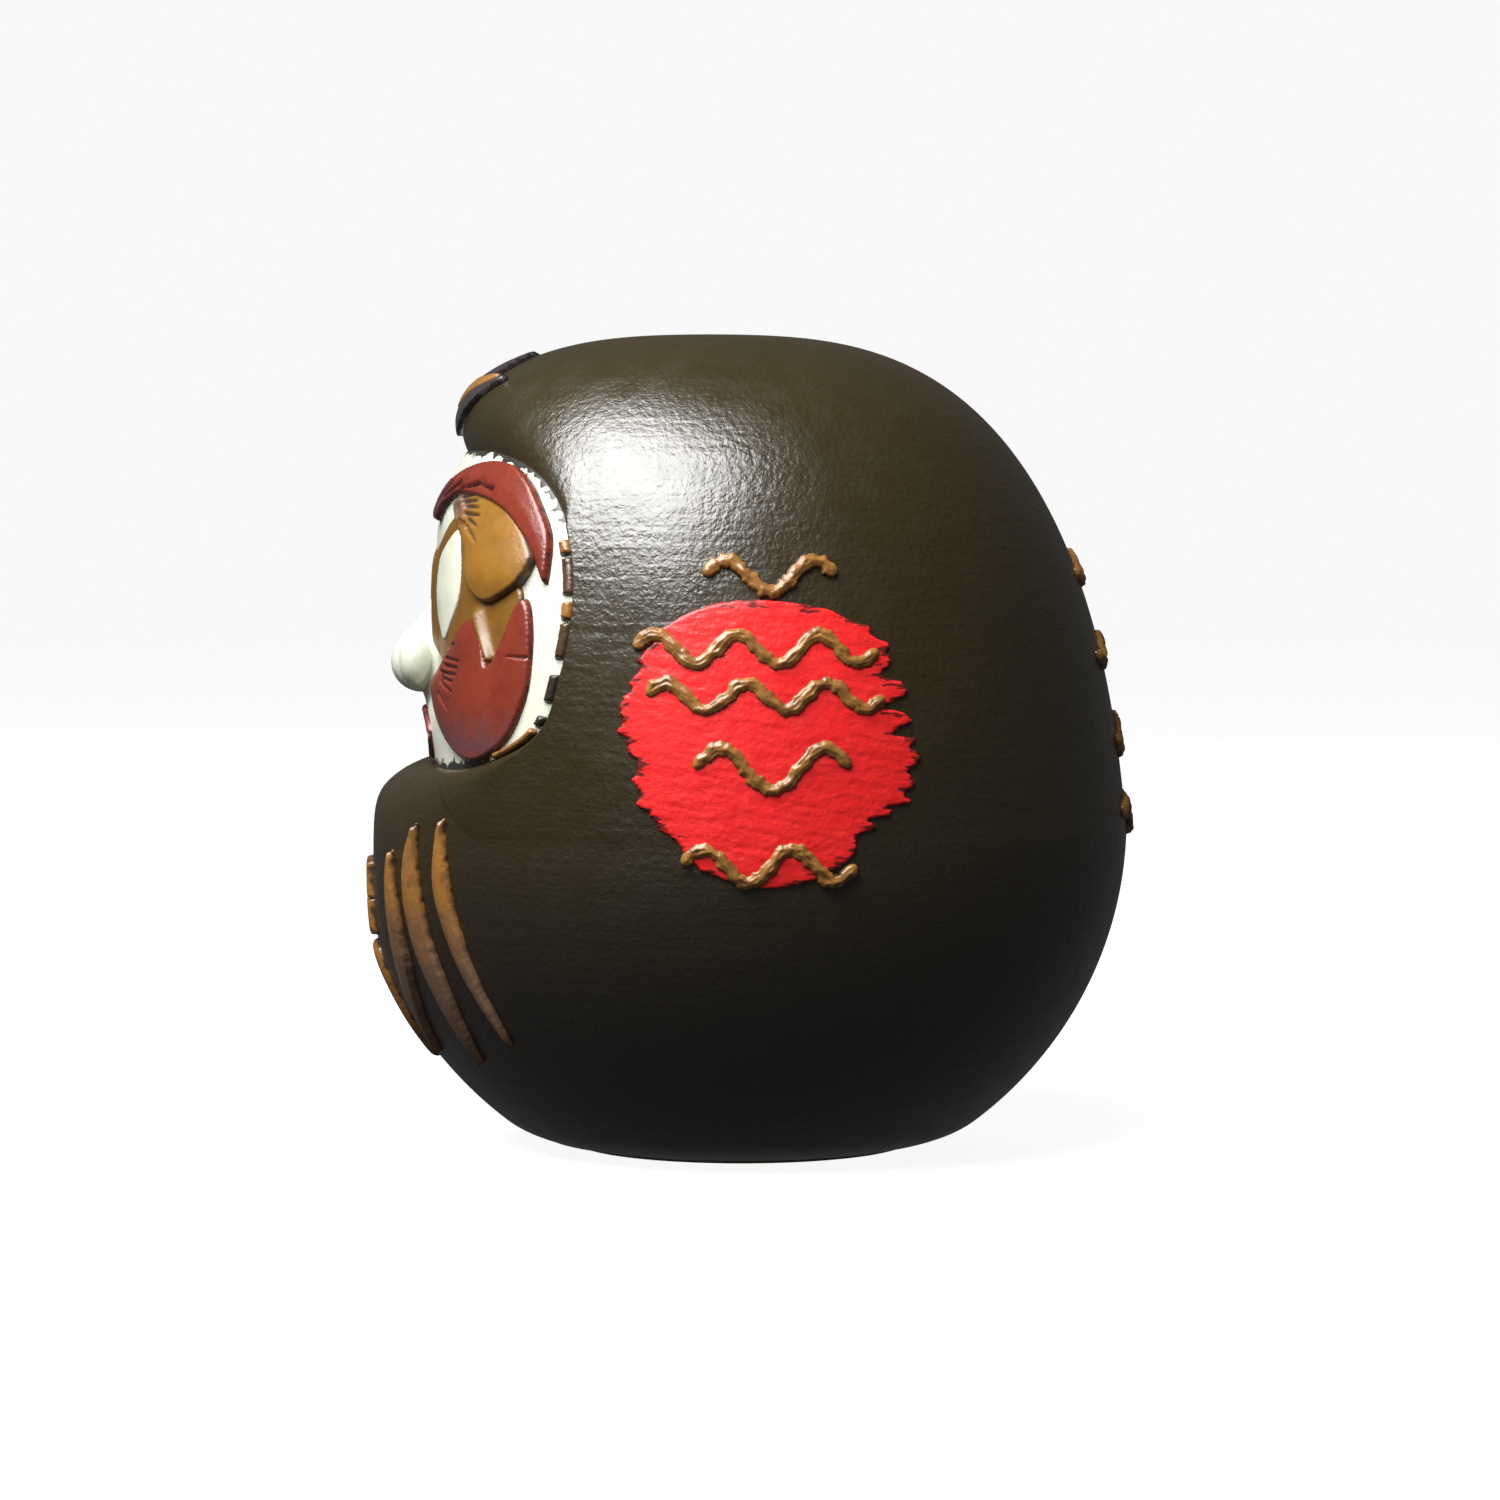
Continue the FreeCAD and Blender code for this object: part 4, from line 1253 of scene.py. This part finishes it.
SUN_CENTRE = (SUN_LOW + SUN_HIGH) / 2
SUN_RADIUS = (SUN_HIGH[2] - SUN_LOW[2]) / 2
SUN_EDGE_RADIUS = 25.3                    # the radius at which the points of SUN_EDGE are set
SUN_EDGE = [
    (-4.5, 25.1), (-9.3, 24.5), (-13, 23.3), (-15.6, 22), (-18.4, 20.1), (-20.8, 16.9), (-22.3, 15.1),
    (-22, 13.2), (-24, 11.5), (-23.6, 9.7), (-25, 8.1), (-25.7, 5.7), (-24.8, 4.1), (-25.7, 2.5),
    (-23.9, 0.7), (-24.3, -1.2), (-22.4, -3.5), (-23.4, -5.3), (-22, -7.9), (-22.5, -10.1), (-20.6, -11.2),
    (-19.1, -13.9), (-16.5, -15.8), (-14.6, -18.2), (-12, -20.8), (-7.2, -23), (0, -24.2), (7.2, -23),
    (12.1, -20.6), (14.8, -17.9), (15.5, -15.2), (18.5, -14.1), (17.2, -12.6), (21.7, -12), (20.7, -10.5),
    (24.3, -9.9), (23.3, -8.2), (25.5, -6.5), (24.5, -4.6), (26.5, -2.2), (24.6, -0.5), (25.6, 0.9),
    (21.8, 2.2), (24.6, 3.8), (24.1, 5.5), (20.3, 6.8), (24.1, 8.7), (23.5, 10.7), (19.7, 12.3),
    (21.6, 14), (20.5, 15.9), (21.1, 17.6), (18, 19.1), (17.6, 20.5), (14.4, 21.5), (11.2, 23.2),
    (6.4, 24.4), (0.3, 25.2),
]


def sun_outline():
    """A round disc whose level brush strokes end unevenly to the front and back."""
    edge = smooth_outline(SUN_EDGE, 12) * (SUN_RADIUS / SUN_EDGE_RADIUS)
    ragged = wandering(len(edge), 0.6)
    level = np.clip(np.abs(edge[:, 0]) / SUN_RADIUS * 1.4 - 0.4, 0, 1)
    return edge + np.stack([ragged * (0.25 + level), 0.2 * ragged], axis=1) + SUN_CENTRE[1:]


def sun_height(a, b, inside):
    """A thin coat with brush ridges that run level."""
    ripple = np.sin(b * 2.4 + np.sin(a * 0.35) * 1.3) * 0.5 + np.sin(b * 4.1 + a * 0.9 + 1) * 0.3
    return 0.5 * crisp(inside, 0.5) + 0.03 * ripple * ramp(inside, 0.8)


# Start, end, height, rise and number of crests of each wave.
SIDE_WAVES = [
    (-11, 12, 106.5, 2.6, 1.5), (-23, 19, 94, 2.4, 3), (-21, 20, 86, 2.2, 3), (-13, 14, 73.5, 3.6, 1.5),
    (-15, 15, 57, 2.8, 2),
]
BACK_WAVES = [(-14, 14, 107, 2.2, 2), (-20, 20, 92, 2.1, 3), (-16, 16, 76.5, 3, 2), (-19, 19, 61.5, 2.7, 2.5)]
WAVE_WIDTH = 2.7


def wave_outline(start, end, height, rise, crests):
    """A brushed wave stroke with blunt ends and slightly uneven sides."""
    count = 220
    share = np.linspace(0, 1, count)
    up = height + rise * np.sin(2 * math.pi * crests * share)
    path = np.stack([start + (end - start) * share, up], axis=1)
    slope = unit(np.gradient(path, axis=0))
    normal = np.stack([-slope[:, 1], slope[:, 0]], axis=1)
    ends = np.clip(np.minimum(share, 1 - share) * (end - start) / 1.4, 0, 1)
    half = WAVE_WIDTH / 2 * np.sqrt(np.clip(1 - (1 - ends) ** 2, 0.05, 1))
    sides = []
    for way in (1, -1):
        width = way * half + wandering(count, 0.4) * (ends > 0.9)
        sides.append(path + normal * width[:, None])
    return np.concatenate([sides[0], sides[1][::-1]])


def stroke_height(a, b, inside):
    """Thick paint with bristle furrows and a full rim, as a loaded brush leaves it."""
    furrow = 0.16 * np.sin(inside * 7.5 + 0.6 * np.sin(a * 0.9) + 0.5 * np.sin(b * 1.3))
    lumps = 0.14 * np.sin(a * 1.1 + 0.7 * b) * np.sin(b * 1.7 - 0.4 * a)
    return 1.15 * crisp(inside, 0.9) - 0.05 + (furrow + lumps) * ramp(inside, 0.9)


def lay_wave(wave, name, node, surface, mirror=False):
    """One gold stroke of a wave."""
    stroke = patch(name, wave_outline(*wave), 0.25, surface, stroke_height, mirror=mirror)
    dress(stroke, GOLD, node)


for side, flipped in SIDES:
    disc = patch(f"sun_disc_{side}", sun_outline(), 0.28, side_surface, sun_height, mirror=flipped)
    dress(disc, SUN_RED, f"sun_{side}")
    for number, wave in enumerate(SIDE_WAVES, start=1):
        lay_wave(wave, f"stroke_{side}_{number}", f"wave_{side}_{number}", side_surface, flipped)
for number, wave in enumerate(BACK_WAVES, start=1):
    lay_wave(wave, f"stroke_back_{number}", f"back_wave_{number}", back_surface)


# ---------------------------------------------------------------- the CAD pieces that are kept

def matt_look(name, colour, roughness, second, grain, start, *reliefs):
    """An unpainted material in two mixed tones; start is the noise at which the second begins."""
    look = Look(name, colour, roughness, specular=0.2)
    look.tint(look.noise(grain, 5), start, 0.7, 0.8, second)
    for relief in reliefs:
        look.relief(*relief)
    return look.material


CARD = matt_look("card", (120, 102, 80), 0.85, (92, 76, 58), 1.5, 0.45, (0.08, 0.6, 5), (0.2, 5, 3))
CLAY = matt_look("clay", (150, 96, 66), 0.9, (118, 76, 56), 2.5, 0.5, (0.15, 1.2, 5))
PAPER = matt_look("paper", (196, 184, 158), 0.9, (168, 152, 122), 3, 0.45, (0.1, 0.8, 4, (6, 6, 1)))
for node, material in (("base_cover", CARD), ("base_weight", CLAY), ("seam_band", PAPER)):
    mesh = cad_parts[node].data
    mesh.materials.clear()
    mesh.materials.append(material)


# ---------------------------------------------------------------- studio

MIDDLE = Vector((0, 0, 0.075))


def toward(azimuth, elevation):
    """The direction from the doll; azimuth 0 is in front of its face and 90 on its left."""
    turn = math.radians(azimuth)
    up = math.radians(elevation)
    return Vector((math.sin(turn) * math.cos(up), -math.cos(turn) * math.cos(up), math.sin(up)))


def area_light(name, way, distance, width, height, power):
    """A soft white light that looks at the middle of the doll."""
    data = bpy.data.lights.new(name, "AREA")
    data.shape = "RECTANGLE"
    data.size = width
    data.size_y = height
    data.energy = power
    light = new_object(name, data)
    light.location = MIDDLE + way * distance
    light.rotation_euler = (-way).to_track_quat("-Z", "Y").to_euler()
    return light


area_light("key", toward(44, 56), 0.95, 0.85, 0.66, 29)
area_light("side fill", toward(70, 10), 1.3, 0.8, 0.5, 0.5)
far_fill = area_light("far fill", toward(255, 28), 1.3, 0.8, 0.6, 4)
far_fill.visible_glossy = False


def glow_look(name, colour, glow):
    """A plain pale surface that is lit a little from within, so that it stays even far from the lights."""
    material = bpy.data.materials.new(name)
    material.use_nodes = True
    shader = material.node_tree.nodes["Principled BSDF"]
    shader.inputs["Base Color"].default_value = (colour, colour, colour, 1)
    shader.inputs["Roughness"].default_value = 0.95
    shader.inputs["Specular IOR Level"].default_value = 0.0
    shader.inputs["Emission Color"].default_value = (1, 1, 1, 1)
    shader.inputs["Emission Strength"].default_value = glow
    return material


def keep_off_the_doll(obj):
    """A stage piece that is seen, but throws no light or reflection on the doll."""
    obj.visible_diffuse = False
    obj.visible_glossy = False


ROOM_RADIUS = 3.2
bpy.ops.mesh.primitive_circle_add(vertices=96, radius=ROOM_RADIUS, fill_type="NGON", location=(0, 0, -0.0002))
floor = bpy.context.object
floor.name = "floor"
floor.data.materials.append(glow_look("floor", 0.22, 0.92))
keep_off_the_doll(floor)

bpy.ops.mesh.primitive_uv_sphere_add(segments=64, ring_count=32, radius=ROOM_RADIUS, location=(0, 0, 0))
room = bpy.context.object
room.name = "backdrop"
room.visible_shadow = False
room.data.materials.append(glow_look("backdrop", 0.0, 0.945))
keep_off_the_doll(room)

world = bpy.data.worlds.new("studio")
world.use_nodes = True
world.node_tree.nodes["Background"].inputs["Color"].default_value = (1, 1, 1, 1)
world.node_tree.nodes["Background"].inputs["Strength"].default_value = 0.08
bpy.context.scene.world = world
bpy.context.scene.view_settings.view_transform = "Standard"

AIM = Vector((0, 0.00156, 0.07307))
SIGHT = toward(86, 3.08)
CAMERA_DISTANCE = 0.896
lens = bpy.data.cameras.new("camera")
lens.lens = 115.5
lens.sensor_width = 36
camera = new_object("camera", lens)
camera.location = AIM + SIGHT * CAMERA_DISTANCE
camera.rotation_euler = (-SIGHT).to_track_quat("-Z", "Y").to_euler()
bpy.context.scene.camera = camera
